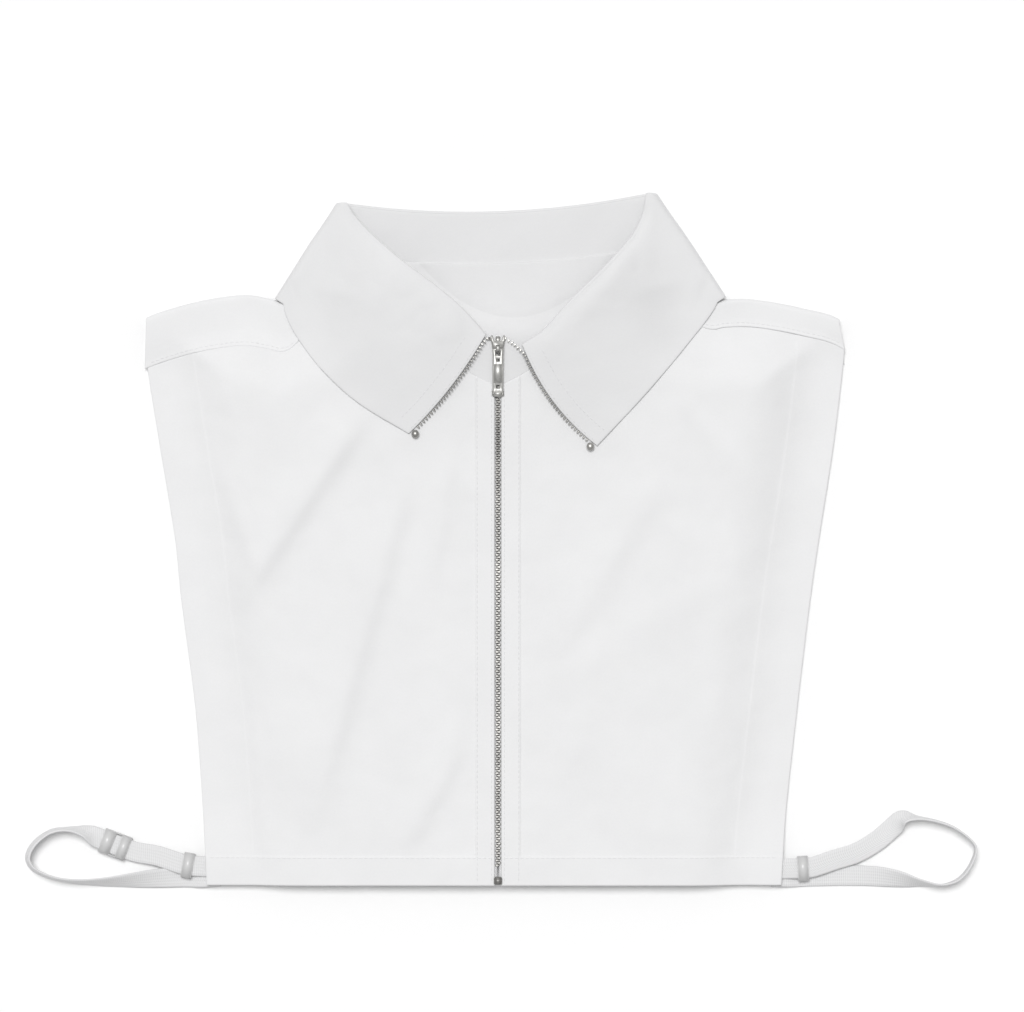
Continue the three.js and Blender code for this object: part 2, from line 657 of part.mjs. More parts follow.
function collarLeaf() {
  const rows = collarStations().map((station) =>
    Array.from({ length: ROLL_ROWS + LEAF_ROWS + 1 }, (_, row) => leafPoint(station, row)),
  );
  return piece("collar_leaf", clothWall(rows, COLLAR_WALL), COTTON, 0.85);
}

// Collar stand: from the neck seam up to the roll
function collarStand() {
  const rows = collarStations().map((station) => {
    const { roll, seam } = stationPlan(station);
    const reach = seam.clone().sub(roll).normalize();
    const from = roll.clone().addScaledVector(reach, STAND_ROLL_GAP);
    const to = seam.clone().addScaledVector(reach, -SEAM_GAP);
    return steps(3).map((t) => collarPoint(station, from.clone().lerp(to, t), 0));
  });
  return piece("collar_stand", clothWall(rows, CLOTH), COTTON, 0.85);
}

// Zip: tapes under the panel edges, the closed chain, and the open rows on the leaf edges
const CHAIN_FOOT_Y = HEM_Y + CHAIN_START;
const SLIDER_TOP_Y = NECK_FRONT_Y + 2.2;
const SLIDER_LOW_Y = SLIDER_TOP_Y - SLIDER_LENGTH;
const CHAIN_TOP_Y = SLIDER_TOP_Y - SLIDER_LENGTH * 0.45;

function chainZ(y) {
  return frontZ(0, y) - TEETH_THICK / 4;
}

function zipTape(side) {
  const depth = CLOTH / 2 + RUN_GAP + TAPE_THICK / 2;
  const points = grid(2, 16, (u, v) => {
    const y = mix(HEM_Y + 2, SLIDER_LOW_Y - RUN_GAP, v);
    const x = side * mix(ZIP_EDGE, ZIP_EDGE + TAPE_WIDTH, u);
    return new THREE.Vector3(x, y, frontZ(x, y) - depth);
  });
  return piece(`zip_tape_${sideName(side)}`, clothWall(points, TAPE_THICK), TAPE_CLOTH, 0.9);
}

function section(centre, across, up, inner, outer, half) {
  return [
    centre.clone().addScaledVector(across, inner).addScaledVector(up, -half),
    centre.clone().addScaledVector(across, inner).addScaledVector(up, half),
    centre.clone().addScaledVector(across, outer).addScaledVector(up, half),
    centre.clone().addScaledVector(across, outer).addScaledVector(up, -half),
  ];
}

function closedTeeth(side) {
  const count = 2 * Math.round((CHAIN_TOP_Y - CHAIN_FOOT_Y) / TOOTH_PITCH);
  const across = new THREE.Vector3(1, 0, 0);
  const up = new THREE.Vector3(0, 0, 1);
  const sections = [];
  for (let i = 0; i <= count; i += 1) {
    const y = mix(CHAIN_FOOT_Y, CHAIN_TOP_Y, i / count);
    const edge = TOOTH_REACH * (i % 2 === 0 ? 1 : -1) + (side * TOOTH_GAP) / 2;
    const centre = new THREE.Vector3(0, y, chainZ(y));
    sections.push(section(centre, across, up, side * CHAIN_HALF, edge, TEETH_THICK / 2));
  }
  return piece(`zip_teeth_${sideName(side)}`, sweptBar(sections), NICKEL, 0.4, 1);
}

// Middle of the open row beside the leaf's zip edge, from the slider to the collar point
function openRowPoint(side, t) {
  const station = { kind: "front", side, way: 0 };
  const row = ROLL_ROWS + t * LEAF_ROWS;
  const here = leafPoint(station, row);
  const ahead = leafPoint(station, row + 0.05);
  const run = ahead.sub(here).normalize();
  const across = new THREE.Vector3(run.y, -run.x, 0).multiplyScalar(side).normalize();
  if (across.x * side > 0) across.negate();
  return { here, across };
}

function openTeeth(side) {
  const { roll, outer } = stationPlan({ kind: "front", side, way: 0 });
  const length = outer.distanceTo(roll) - TOP_STOP_RADIUS;
  const count = 2 * Math.round(length / TOOTH_PITCH);
  const up = new THREE.Vector3(0, 0, 1);
  const sections = [];
  for (let i = 0; i <= count; i += 1) {
    const { here, across } = openRowPoint(side, mix(0.02, 0.96, i / count));
    const reach = CHAIN_HALF * (i % 2 === 0 ? 1.9 : 1.1);
    sections.push(section(here, across, up, RUN_GAP, RUN_GAP + reach, TEETH_THICK / 2));
  }
  return piece(`collar_teeth_${sideName(side)}`, sweptBar(sections), NICKEL, 0.4, 1);
}

function topStop(side) {
  const { here, across } = openRowPoint(side, 0.96);
  const run = openRowPoint(side, 1).here.clone().sub(here).normalize();
  const ball = new THREE.IcosahedronGeometry(TOP_STOP_RADIUS, 1);
  ball.deleteAttribute("normal");
  ball.deleteAttribute("uv");
  const mesh = piece(`zip_top_stop_${sideName(side)}`, mergeVertices(ball, 1e-4), NICKEL, 0.4, 1);
  mesh.position.copy(here);
  mesh.position.addScaledVector(run, TOP_STOP_RADIUS + RUN_GAP);
  mesh.position.addScaledVector(across, RUN_GAP + TOP_STOP_RADIUS * 1.05);
  mesh.position.z += TOP_STOP_RADIUS + CLOTH / 2 + RUN_GAP - ROLL_GAP;
  return mesh;
}

// Flat plate cut from an outline in the plan, with its top at z = depth
function plate(outline, holes, depth) {
  const shape = new THREE.Shape(outline);
  for (const hole of holes) shape.holes.push(new THREE.Path(hole));
  const geometry = new THREE.ExtrudeGeometry(shape, { depth, bevelEnabled: false });
  geometry.deleteAttribute("normal");
  geometry.deleteAttribute("uv");
  return outward(mergeVertices(geometry, 1e-4));
}

function rectangle(x0, y0, x1, y1) {
  return [
    new THREE.Vector2(x0, y0),
    new THREE.Vector2(x1, y0),
    new THREE.Vector2(x1, y1),
    new THREE.Vector2(x0, y1),
  ];
}

const SLIDER_Z = frontZ(0, NECK_FRONT_Y);
const SLIDER_PLATE_Z = SLIDER_Z + TEETH_THICK / 4 + RUN_GAP + 0.2;
const PIVOT_Y = SLIDER_LOW_Y + SLIDER_LENGTH * 0.16;
const PIVOT_Z = SLIDER_PLATE_Z + SLIDER_PLATE + RUN_GAP + 0.15 + PULLER_THICK / 2;

// Slider: two wings over and under the chain, their post, and the bridge that holds the puller
const wasm = await Module();
wasm.setup();

function solidOf(geometry) {
  const vertProperties = new Float32Array(geometry.attributes.position.array);
  const triVerts = new Uint32Array(geometry.index.array);
  return new wasm.Manifold(new wasm.Mesh({ numProp: 3, vertProperties, triVerts }));
}

function geometryOf(solid) {
  const mesh = solid.getMesh();
  const geometry = new THREE.BufferGeometry();
  geometry.setAttribute("position", new THREE.Float32BufferAttribute(mesh.vertProperties, 3));
  geometry.setIndex(Array.from(mesh.triVerts));
  return outward(geometry);
}

function block(half, y0, y1, z0, z1) {
  const geometry = plate(rectangle(-half, y0, half, y1), [], z1 - z0);
  geometry.translate(0, 0, z0);
  return solidOf(geometry);
}

function slider() {
  const low = SLIDER_LOW_Y;
  const top = SLIDER_TOP_Y;
  const under = SLIDER_Z - TEETH_THICK * 0.75 - RUN_GAP - 0.4;
  const over = SLIDER_PLATE_Z + SLIDER_PLATE;
  const nearLeg = PIVOT_Y - PIN_HALF - RUN_GAP;
  const farLeg = nearLeg + BRIDGE_OPEN;
  const roof = PIVOT_Z + PULLER_THICK / 2 + RUN_GAP;
  const solid = block(SLIDER_HALF, low, top, SLIDER_PLATE_Z, over)
    .add(block(SLIDER_HALF * 0.85, low, top, under - SLIDER_PLATE, under))
    .add(block(CHAIN_HALF, CHAIN_TOP_Y + RUN_GAP, top, under - 0.1, SLIDER_PLATE_Z + 0.1))
    .add(block(BRIDGE_HALF, nearLeg - BRIDGE_BAR, nearLeg, over - 0.1, roof + BRIDGE_BAR))
    .add(block(BRIDGE_HALF, farLeg, farLeg + BRIDGE_BAR, over - 0.1, roof + BRIDGE_BAR))
    .add(block(BRIDGE_HALF, nearLeg - BRIDGE_BAR, farLeg + BRIDGE_BAR, roof, roof + BRIDGE_BAR));
  return piece("zip_slider", geometryOf(solid), NICKEL, 0.35, 1);
}

// Puller: a flat tab whose pin turns inside the bridge, lying down the chain at rest
function puller() {
  const eyeHalf = BRIDGE_HALF + RUN_GAP;
  const eyeEnd = PIN_HALF + BRIDGE_OPEN + BRIDGE_BAR * 0.5;
  const foot = PULLER_LENGTH * 0.9;
  const outline = [
    new THREE.Vector2(-PULLER_HALF, PIN_HALF),
    new THREE.Vector2(-PULLER_HALF, -foot),
    new THREE.Vector2(-PULLER_HALF * 1.12, -foot - 0.4),
    new THREE.Vector2(-PULLER_HALF * 1.12, -PULLER_LENGTH + 0.6),
    new THREE.Vector2(-PULLER_HALF * 0.8, -PULLER_LENGTH),
    new THREE.Vector2(PULLER_HALF * 0.8, -PULLER_LENGTH),
    new THREE.Vector2(PULLER_HALF * 1.12, -PULLER_LENGTH + 0.6),
    new THREE.Vector2(PULLER_HALF * 1.12, -foot - 0.4),
    new THREE.Vector2(PULLER_HALF, -foot),
    new THREE.Vector2(PULLER_HALF, PIN_HALF),
  ];
  const eye = rectangle(-eyeHalf, -eyeEnd, eyeHalf, -PIN_HALF);
  const hole = rectangle(-0.9, -PULLER_LENGTH * 0.83, 0.9, -PULLER_LENGTH * 0.75);
  const geometry = plate(outline, [eye, hole], PULLER_THICK);
  geometry.translate(0, 0, -PULLER_THICK / 2);
  const mesh = piece("zip_puller", geometry, NICKEL, 0.35, 1);
  const tipZ = frontZ(0, PIVOT_Y - PULLER_LENGTH) + CLOTH / 2 + RUN_GAP + PULLER_THICK / 2;
  mesh.position.set(0, PIVOT_Y, PIVOT_Z);
  mesh.rotation.x = Math.atan2(PIVOT_Z - tipZ, PULLER_LENGTH);
  return mesh;
}

function bottomStop() {
  const half = CHAIN_HALF * 1.5;
  const y0 = CHAIN_FOOT_Y - SEAM_GAP - BOTTOM_STOP;
  const z0 = frontZ(0, y0 + BOTTOM_STOP / 2) + CLOTH / 2 + RUN_GAP;
  const cap = plate(rectangle(-half, y0 + 1, half, y0 + BOTTOM_STOP), [], TEETH_THICK / 2);
  cap.translate(0, 0, z0);
  const neck = plate(
    rectangle(-CHAIN_HALF, y0 + 1, CHAIN_HALF, y0 + BOTTOM_STOP),
    [],
    TEETH_THICK,
  );
  neck.translate(0, 0, z0 - TEETH_THICK + 0.1);
  const solid = solidOf(cap).add(solidOf(neck));
  return piece("zip_bottom_stop", geometryOf(solid), NICKEL, 0.35, 1);
}

// Strap: flat elastic that stands on its edge where it turns back
const STRAP_STEPS = 64;
const STRAP_TABLE = { left: LEFT_STRAP, right: RIGHT_STRAP };
for (const table of Object.values(STRAP_TABLE)) {
  table.forEach((row, i) => {
    row.place = i / (table.length - 1);
  });
}

function strapTilt(side, place) {
  const table = STRAP_TABLE[sideName(side)];
  const tilt = along(table, "place", clamp01(place), "tilt");
  return THREE.MathUtils.degToRad(Math.min(90, Math.max(0, tilt)));
}

function strapCentre(side, place) {
  const table = STRAP_TABLE[sideName(side)];
  const value = (column) => along(table, "place", clamp01(place), column);
  const corner = armholeX(side, HEM_Y + STRAP_SPREAD * 0.3);
  const tilt = strapTilt(side, place);
  const stands = (STRAP_WIDTH / 2) * Math.sin(tilt) + (STRAP_THICK / 2) * Math.cos(tilt);
  return new THREE.Vector3(
    side * (corner + STRAP_REACH * value("out")),
    HEM_Y + STRAP_SPREAD * value("up"),
    stands + STRAP_WIDTH * Math.max(0.008, value("lift")),
  );
}

function strapFrame(side, place) {
  const centre = strapCentre(side, place);
  const run = strapCentre(side, place + 0.004).sub(strapCentre(side, place - 0.004)).normalize();
  const flat = new THREE.Vector3(-run.y, run.x, 0).normalize();
  const tilt = strapTilt(side, place);
  const width = flat.multiplyScalar(Math.cos(tilt));
  width.z = side * -Math.sin(tilt);
  const face = run.clone().cross(width).normalize();
  width.copy(face).cross(run).normalize();
  return { centre, run, width, face };
}

function strap(side) {
  const rows = steps(STRAP_STEPS).map((place) => {
    const { centre, width } = strapFrame(side, place);
    return [-1, 1].map((edge) => centre.clone().addScaledVector(width, (edge * STRAP_WIDTH) / 2));
  });
  return piece(`strap_${sideName(side)}`, clothWall(rows, STRAP_THICK), ELASTIC, 0.8);
}

// Loop that the strap runs through, with a bar over it and a bar under it
function strapLoop(name, side, place, length, room) {
  const { centre, run, width, face } = strapFrame(side, place);
  const halfX = STRAP_WIDTH / 2 + room;
  const halfZ = STRAP_THICK / 2 + room;
  const outer = rectangle(-halfX - LOOP_BAR, -halfZ - LOOP_BAR, halfX + LOOP_BAR, halfZ + LOOP_BAR);
  const geometry = plate(outer, [rectangle(-halfX, -halfZ, halfX, halfZ)], length);
  geometry.translate(0, 0, -length / 2);
  const mesh = piece(name, geometry, PLASTIC, 0.5);
  mesh.quaternion.setFromRotationMatrix(
    new THREE.Matrix4().makeBasis(width, face, width.clone().cross(face)),
  );
  mesh.position.copy(centre);
  return mesh;
}

const bib = new THREE.Group();
bib.name = "bib_collar";
bib.add(backPanel(), collarStand(), collarLeaf());
for (const side of [-1, 1]) {
  bib.add(frontPanel(side), shoulder(side));
  bib.add(zipTape(side), closedTeeth(side), openTeeth(side), topStop(side), strap(side));
}
bib.add(slider(), puller(), bottomStop());
bib.add(strapLoop("strap_ring_left", -1, 0.088, RING_LENGTH, RING_ROOM));
bib.add(strapLoop("strap_ring_right", 1, 0.075, RING_LENGTH, RING_ROOM));
bib.add(strapLoop("strap_slide_left", -1, 0.235, SLIDE_LENGTH, SLIDE_ROOM));

export default bib;
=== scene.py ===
# Zip-front bib collar in white cotton shirting, laid on its back and seen from straight above.
# Sizes are in millimetres until a mesh is made, in the frame of the part: +X to the right of
# the bib, +Y towards the collar, +Z up from the surface, the origin under the zip.

import math

import bmesh
import bpy
import numpy as np
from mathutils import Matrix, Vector, noise
from mathutils.bvhtree import BVHTree


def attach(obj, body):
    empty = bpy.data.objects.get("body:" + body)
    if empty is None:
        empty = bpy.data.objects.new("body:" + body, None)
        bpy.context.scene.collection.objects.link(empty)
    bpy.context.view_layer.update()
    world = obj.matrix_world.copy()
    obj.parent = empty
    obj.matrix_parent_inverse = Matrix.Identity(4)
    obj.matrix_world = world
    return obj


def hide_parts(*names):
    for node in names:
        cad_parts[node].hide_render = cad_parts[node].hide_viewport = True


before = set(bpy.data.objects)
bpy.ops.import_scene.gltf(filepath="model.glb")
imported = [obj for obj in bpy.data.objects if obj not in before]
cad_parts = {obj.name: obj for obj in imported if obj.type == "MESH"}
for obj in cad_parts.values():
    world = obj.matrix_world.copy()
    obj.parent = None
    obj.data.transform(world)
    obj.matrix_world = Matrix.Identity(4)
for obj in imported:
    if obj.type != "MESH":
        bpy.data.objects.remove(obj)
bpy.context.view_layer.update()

# Camera, surface and light. The collar lies on a white table under a camera that looks
# straight down. Broad daylight comes from past the collar's end, so the hem has a thin shadow.
MM = 0.001
PHOTO_WIDTH = 1024
PHOTO_HEIGHT = 1012
PIXEL = 0.515 * MM
ZIP_COLUMN = 498
ORIGIN_ROW = 620
CAMERA_HEIGHT = 2.6
MEAN_HEIGHT = 0.012

camera = bpy.data.objects.new("overhead_camera", bpy.data.cameras.new("overhead_camera"))
bpy.context.collection.objects.link(camera)
bpy.context.scene.camera = camera
camera.data.sensor_fit = "HORIZONTAL"
camera.data.sensor_width = 36
camera.data.lens = 36 * (CAMERA_HEIGHT - MEAN_HEIGHT) / (PHOTO_WIDTH * PIXEL)
camera.data.clip_start = 0.05
camera.location = (
    (PHOTO_WIDTH / 2 - ZIP_COLUMN) * PIXEL,
    (ORIGIN_ROW - PHOTO_HEIGHT / 2) * PIXEL,
    CAMERA_HEIGHT,
)

TABLE_SIZE = 6.0
TABLE_DROP = 0.0002
bpy.ops.mesh.primitive_plane_add(size=TABLE_SIZE, location=(0, 0, -TABLE_DROP))
table_top = bpy.context.object
table_top.name = "table_top"


def start_material(name):
    material = bpy.data.materials.new(name)
    material.use_nodes = True
    return material, material.node_tree.nodes["Principled BSDF"]


def connect(material, node, sockets):
    """Each socket, by name or number, takes a value or what another node gives."""
    for place, value in sockets.items():
        if isinstance(value, bpy.types.NodeSocket):
            material.node_tree.links.new(value, node.inputs[place])
        else:
            node.inputs[place].default_value = value


def add_node(material, kind, sockets=None, **settings):
    node = material.node_tree.nodes.new(f"ShaderNode{kind}")
    for name, value in settings.items():
        setattr(node, name, value)
    connect(material, node, sockets or {})
    return node


def tone_ramp(material, source, dark, light, start=0.0, end=1.0):
    """Tones from dark to light, by the strength of a texture."""
    ramp = add_node(material, "ValToRGB", {"Fac": source})
    for stop, position, tone in zip(ramp.color_ramp.elements, (start, end), (dark, light)):
        stop.position = position
        stop.color = (*tone, 1)
    return ramp.outputs["Color"]


table_white, shader = start_material("table_white")
mottle = add_node(table_white, "TexNoise", {"Scale": 3.0}).outputs["Fac"]
connect(table_white, shader, {
    "Base Color": tone_ramp(table_white, mottle, (0.93, 0.93, 0.93), (0.95, 0.95, 0.95)),
    "Roughness": 0.9,
})
table_top.data.materials.append(table_white)

world = bpy.data.worlds.new("white_studio")
world.use_nodes = True
world.node_tree.nodes["Background"].inputs["Color"].default_value = (1, 1, 1, 1)
world.node_tree.nodes["Background"].inputs["Strength"].default_value = 0.44
bpy.context.scene.world = world
bpy.context.scene.view_settings.view_transform = "Standard"
bpy.context.scene.view_settings.look = "None"

skylight = bpy.data.lights.new("skylight", "SUN")
skylight.energy = 2.09
skylight.angle = math.radians(24)
skylight_holder = bpy.data.objects.new("skylight", skylight)
bpy.context.collection.objects.link(skylight_holder)
towards_light = Vector((-0.09, 0.29, 1.0))
skylight_holder.rotation_euler = towards_light.to_track_quat("Z", "Y").to_euler()

# Bib cotton. White poplin, woven with fine threads at right angles, washed and pressed flat,
# so it is matt with slight shifts of tone, faint thread lines and a soft nap.
THREAD = 0.00036
WAVE_PERIOD = 0.314


def relief(material, height, strength, distance, under=None):
    """A texture raised on the surface, over a coarser relief where one is given."""
    sockets = {"Height": height, "Strength": strength, "Distance": distance}
    if under is not None:
        sockets["Normal"] = under
    return add_node(material, "Bump", sockets).outputs["Normal"]


def cotton(name, tone, nap=0.35):
    material, shader = start_material(name)
    cut = add_node(material, "UVMap", uv_map="cut").outputs["UV"]
    lines = {}
    for number, direction in enumerate("XY"):
        sockets = {"Vector": cut, "Scale": WAVE_PERIOD / THREAD, "Distortion": 1.2, "Detail": 1.0}
        thread_lines = add_node(material, "TexWave", sockets, bands_direction=direction)
        lines[number] = thread_lines.outputs["Fac"]
    weave = add_node(material, "Math", lines, operation="MAXIMUM").outputs["Value"]
    sockets = {"Vector": cut, "Scale": 26, "Detail": 4, "Roughness": 0.6}
    crease = add_node(material, "TexNoise", sockets).outputs["Fac"]
    slub = add_node(material, "TexNoise", {"Vector": cut, "Scale": 900, "Detail": 3}).outputs["Fac"]
    shift = add_node(material, "Mix", {"Factor": 0.35, "A": crease, "B": slub}).outputs["Result"]
    low, high = [c * 0.965 for c in tone], [min(1, c * 1.015) for c in tone]
    waves = relief(material, crease, 0.22, 0.0009)
    connect(material, shader, {
        "Base Color": tone_ramp(material, shift, low, high, 0.3, 0.7),
        "Normal": relief(material, weave, nap, 0.00006, waves),
        "Roughness": 0.88,
        "Sheen Weight": 0.12,
        "Sheen Roughness": 0.5,
    })
    return material


bib_cotton = cotton("bib_cotton", (0.80, 0.80, 0.805))

# Bib outline and loft. The bib is cut like the top of a shirt front, with bare armhole edges,
# and its front lies over the back in a low arch that rises from the hem to the neck.
SHOULDER_HALF = 181.0
BODY_LENGTH = 304.0
HEM_Y = -137.0
SHOULDER_Y = HEM_Y + BODY_LENGTH
CLOTH = 1.2
CLOTH_HALF = 0.35
SEAM_GAP = 0.3
COLLAR_WALL = 1.4
ROLL_GAP = 2.4
SIDE_FOLD_RADIUS = 2.6
SHOULDER_FOLD_RADIUS = 2.5
COLLAR_TOP_HALF = 82.6
COLLAR_RISE = 74.0
NECK_FRONT_Y = HEM_Y + 281
COLLAR_OUTER_HALF = 116.6
COLLAR_DROP = 74.5
COLLAR_POINT_Y = HEM_Y + 229
NECK_SEAM_Y = NECK_FRONT_Y - 23
STAND_HEIGHT = 30.0
STAND_BACK_Z = COLLAR_WALL / 2 + ROLL_GAP
TURN_INSET = SIDE_FOLD_RADIUS + ROLL_GAP + COLLAR_WALL / 2
ROLL_RADIUS = ROLL_GAP / 2
ROLL_INSET = ROLL_RADIUS + COLLAR_WALL / 2
ZIP_EDGE = 1.7
LOFT_RUN = 46.0
HEM_LOFT = 10.5
LOFT_CLIMB = 5.0
NECK_LOFT = 8.5
EDGE_AIR = 2.0
CORNER_LIFT = 3.7

ARMHOLE = {
    "rise": (0, 0.122, 0.303, 0.487, 0.586, 0.743, 0.882, 0.937, 0.964),
    "left": (0.831, 0.842, 0.865, 0.905, 0.922, 0.965, 1.002, 1.01, 1.007),
    "right": (0.808, 0.822, 0.855, 0.892, 0.916, 0.957, 0.985, 0.99, 0.978),
}
SHOULDER = {
    "out": (0.547, 0.58, 0.608, 0.645, 0.717, 0.805, 0.876, 0.95, 1.01),
    "left": (-0.043, -0.008, 0.008, 0.004, -0.003, 0.002, 0.0105, 0.023, 0.036),
    "right": (-0.043, -0.008, 0.008, 0.005, 0.004, 0.011, 0.02, 0.031, 0.05),
}
ROLL = {
    "way": (0, 0.2, 0.4, 0.66, 0.9, 1),
    "left_x": (0.069, 0.218, 0.375, 0.63, 0.905, 1.01),
    "left_y": (0.038, 0.223, 0.372, 0.588, 0.865, 0.964),
    "right_x": (0.143, 0.281, 0.443, 0.699, 0.92, 0.992),
    "right_y": (-0.032, 0.075, 0.274, 0.559, 0.86, 1.032),
}
LEAF_EDGE = {
    "way": (0, 0.306, 0.548, 0.757, 1),
    "left_x": (0.393, 0.618, 0.773, 0.883, 0.99),
    "left_y": (0.051, 0.266, 0.486, 0.707, 0.991),
    "right_x": (0.437, 0.621, 0.761, 0.877, 1.011),
    "right_y": (-0.032, 0.274, 0.525, 0.748, 1.005),
}


def ease(low, high, value):
    t = np.clip((np.asarray(value, float) - low) / (high - low), 0, 1)
    return t * t * t * (t * (6 * t - 15) + 10)


def along(table, key, place, column):
    keys = np.array(table[key], float)
    values = np.array(table[column], float)
    place = np.clip(np.asarray(place, float), keys[0], keys[-1])
    i = np.clip(np.searchsorted(keys, place, side="left") - 1, 0, len(keys) - 2)
    before = np.maximum(np.arange(len(keys)) - 1, 0)
    after = np.minimum(np.arange(len(keys)) + 1, len(keys) - 1)
    slope = (values[after] - values[before]) / (keys[after] - keys[before])
    span = keys[i + 1] - keys[i]
    t = (place - keys[i]) / span
    return (
        (2 * t**3 - 3 * t**2 + 1) * values[i]
        + (t**3 - 2 * t**2 + t) * span * slope[i]
        + (3 * t**2 - 2 * t**3) * values[i + 1]
        + (t**3 - t**2) * span * slope[i + 1]
    )


def hand(side):
    return "left" if side < 0 else "right"


def armhole_x(side, y):
    return SHOULDER_HALF * along(ARMHOLE, "rise", (y - HEM_Y) / BODY_LENGTH, hand(side))


def shoulder_y(side, x):
    return SHOULDER_Y - BODY_LENGTH * along(SHOULDER, "out", np.abs(x) / SHOULDER_HALF, hand(side))


def roll_point(side, way):
    x = side * COLLAR_TOP_HALF * along(ROLL, "way", way, hand(side) + "_x")
    y = NECK_FRONT_Y + COLLAR_RISE * along(ROLL, "way", way, hand(side) + "_y")
    return np.stack([x, y], -1)


def leaf_edge_point(side, way):
    x = side * COLLAR_OUTER_HALF * along(LEAF_EDGE, "way", way, hand(side) + "_x")
    y = COLLAR_POINT_Y + COLLAR_DROP * along(LEAF_EDGE, "way", way, hand(side) + "_y")
    return np.stack([x, y], -1)


def unit(v):
    return v / np.maximum(np.linalg.norm(v, axis=-1, keepdims=True), 1e-9)


CREASE = {}
for side in (-1, 1):
    top = roll_point(side, 1.0)
    foot = leaf_edge_point(side, 1.0)
    down = unit(foot - top)
    out = np.array([side * -down[1], side * down[0]])
    out = out if out[0] * side > 0 else -out
    CREASE[side] = {
        "top": top,
        "foot": foot,
        "down": down,
        "out": out,
        "level": np.array([side, 0.0]),
        "axis_top": top - np.array([side * TURN_INSET, 0.0]) + down * ROLL_INSET,
        "axis_foot": foot - out * TURN_INSET,
    }
    CREASE[side]["neck"] = CREASE[side]["axis_top"] + down * (STAND_HEIGHT - ROLL_INSET)


def neck_seam_y(side, x):
    corner = CREASE[side]["neck"]
    share = np.abs(x) / abs(corner[0])
    return NECK_SEAM_Y + (corner[1] - NECK_SEAM_Y) * share**1.3


def shoulder_seam_y(side, x, drop):
    inner = abs(CREASE[side]["neck"][0])
    climb = 1 - ease(inner * 0.85, inner * 1.21, np.abs(x))
    reach = np.maximum(np.abs(x), inner * 1.2)
    return shoulder_y(side, reach) - drop * (1 - climb) + 4 * climb


FRONT_SEAM_DROP = {-1: 26.0, 1: 14.0}
BACK_SEAM_DROP = 22.0

silhouette = []
for side in (-1, 1):
    ys = HEM_Y + BODY_LENGTH * 0.964 * np.arange(33) / 32
    xs = SHOULDER_HALF * np.linspace(1.0, 0.6, 25)
    corners = [np.stack([side * armhole_x(side, ys), ys], -1)]
    corners.append(np.stack([side * xs, shoulder_y(side, xs)], -1))
    corners.append(np.stack([CREASE[side]["foot"], CREASE[side]["top"]]))
    path = np.concatenate(corners)
    silhouette.append(np.concatenate([path[:-1], path[1:]], 1))
silhouette = np.concatenate(silhouette)


def inset(x, y):
    x, y = np.asarray(x, float), np.asarray(y, float)
    nearest = np.full(np.broadcast(x, y).shape, 1e9)
    for ax, ay, bx, by in silhouette:
        dx, dy = bx - ax, by - ay
        t = np.clip(((x - ax) * dx + (y - ay) * dy) / max(dx * dx + dy * dy, 1e-9), 0, 1)
        nearest = np.minimum(nearest, np.hypot(x - ax - dx * t, y - ay - dy * t))
    return nearest


# Folds of the front, each from one end to the other: soft diagonal drag lines from the collar
# and armholes, with their half width and height. The first five are the deep ones.
FOLDS = (
    {"from": (-76, 98), "to": (-130, 17.5), "width": 7.2, "height": 3.2},
    {"from": (-53, 57), "to": (-92, -82), "width": 8.1, "height": 3.0},
    {"from": (-7, -43), "to": (-46, -110), "width": 7.2, "height": 2.2},
    {"from": (78, 67), "to": (32, -10), "width": 9.0, "height": 2.0},
    {"from": (134, -35), "to": (125, -90), "width": 5.4, "height": 1.4},
    {"from": (-158, 129), "to": (-108, 130), "width": 5.0, "height": -1.0},
    {"from": (-170, 135), "to": (-137, 60), "width": 6.0, "height": 1.2},
    {"from": (-137, 60), "to": (-124, 26), "width": 4.0, "height": 0.9},
    {"from": (-128, -39), "to": (-119, -120), "width": 3.6, "height": 0.8},
    {"from": (94, 113), "to": (122, 84), "width": 5.0, "height": 1.3},
    {"from": (122, 84), "to": (150, 50), "width": 5.0, "height": 1.0},
    {"from": (148, 56), "to": (153, 44), "width": 2.6, "height": -0.9},
    {"from": (62, 104), "to": (96, 40), "width": 7.0, "height": 1.1},
    {"from": (-22, 95), "to": (-36, 20), "width": 6.0, "height": 1.1},
    {"from": (150, 3), "to": (134, -90), "width": 3.4, "height": 1.0},
    {"from": (60, 40), "to": (40, -60), "width": 10.0, "height": 1.0},
    {"from": (-100, 60), "to": (-60, -20), "width": 9.0, "height": -0.9},
    {"from": (30, -30), "to": (110, 20), "width": 8.0, "height": 0.8},
)


def fold_height(x, y):
    z = np.zeros(np.broadcast(x, y).shape)
    for fold in FOLDS:
        ax, ay = fold["from"]
        dx, dy = fold["to"][0] - ax, fold["to"][1] - ay
        t = ((x - ax) * dx + (y - ay) * dy) / (dx * dx + dy * dy)
        off = ((x - ax) * dy - (y - ay) * dx) / math.hypot(dx, dy)
        ends = ease(-0.3, 0.2, t) * (1 - ease(0.8, 1.3, t))
        width = fold["width"] * (1.3 + 0.35 * np.tanh(off / 3))
        z += fold["height"] * ends * np.exp(-((off / width) ** 2))
    return z * ease(ZIP_EDGE + 6, ZIP_EDGE + 30, np.abs(x))


def back_z(x, y):
    inside = 1 - ease(COLLAR_OUTER_HALF * 1.02, COLLAR_OUTER_HALF * 1.28, np.abs(x))
    raised = ease(SHOULDER_Y - 40, SHOULDER_Y - 26, y) * inside
    return CLOTH / 2 + (STAND_BACK_Z - CLOTH / 2) * raised


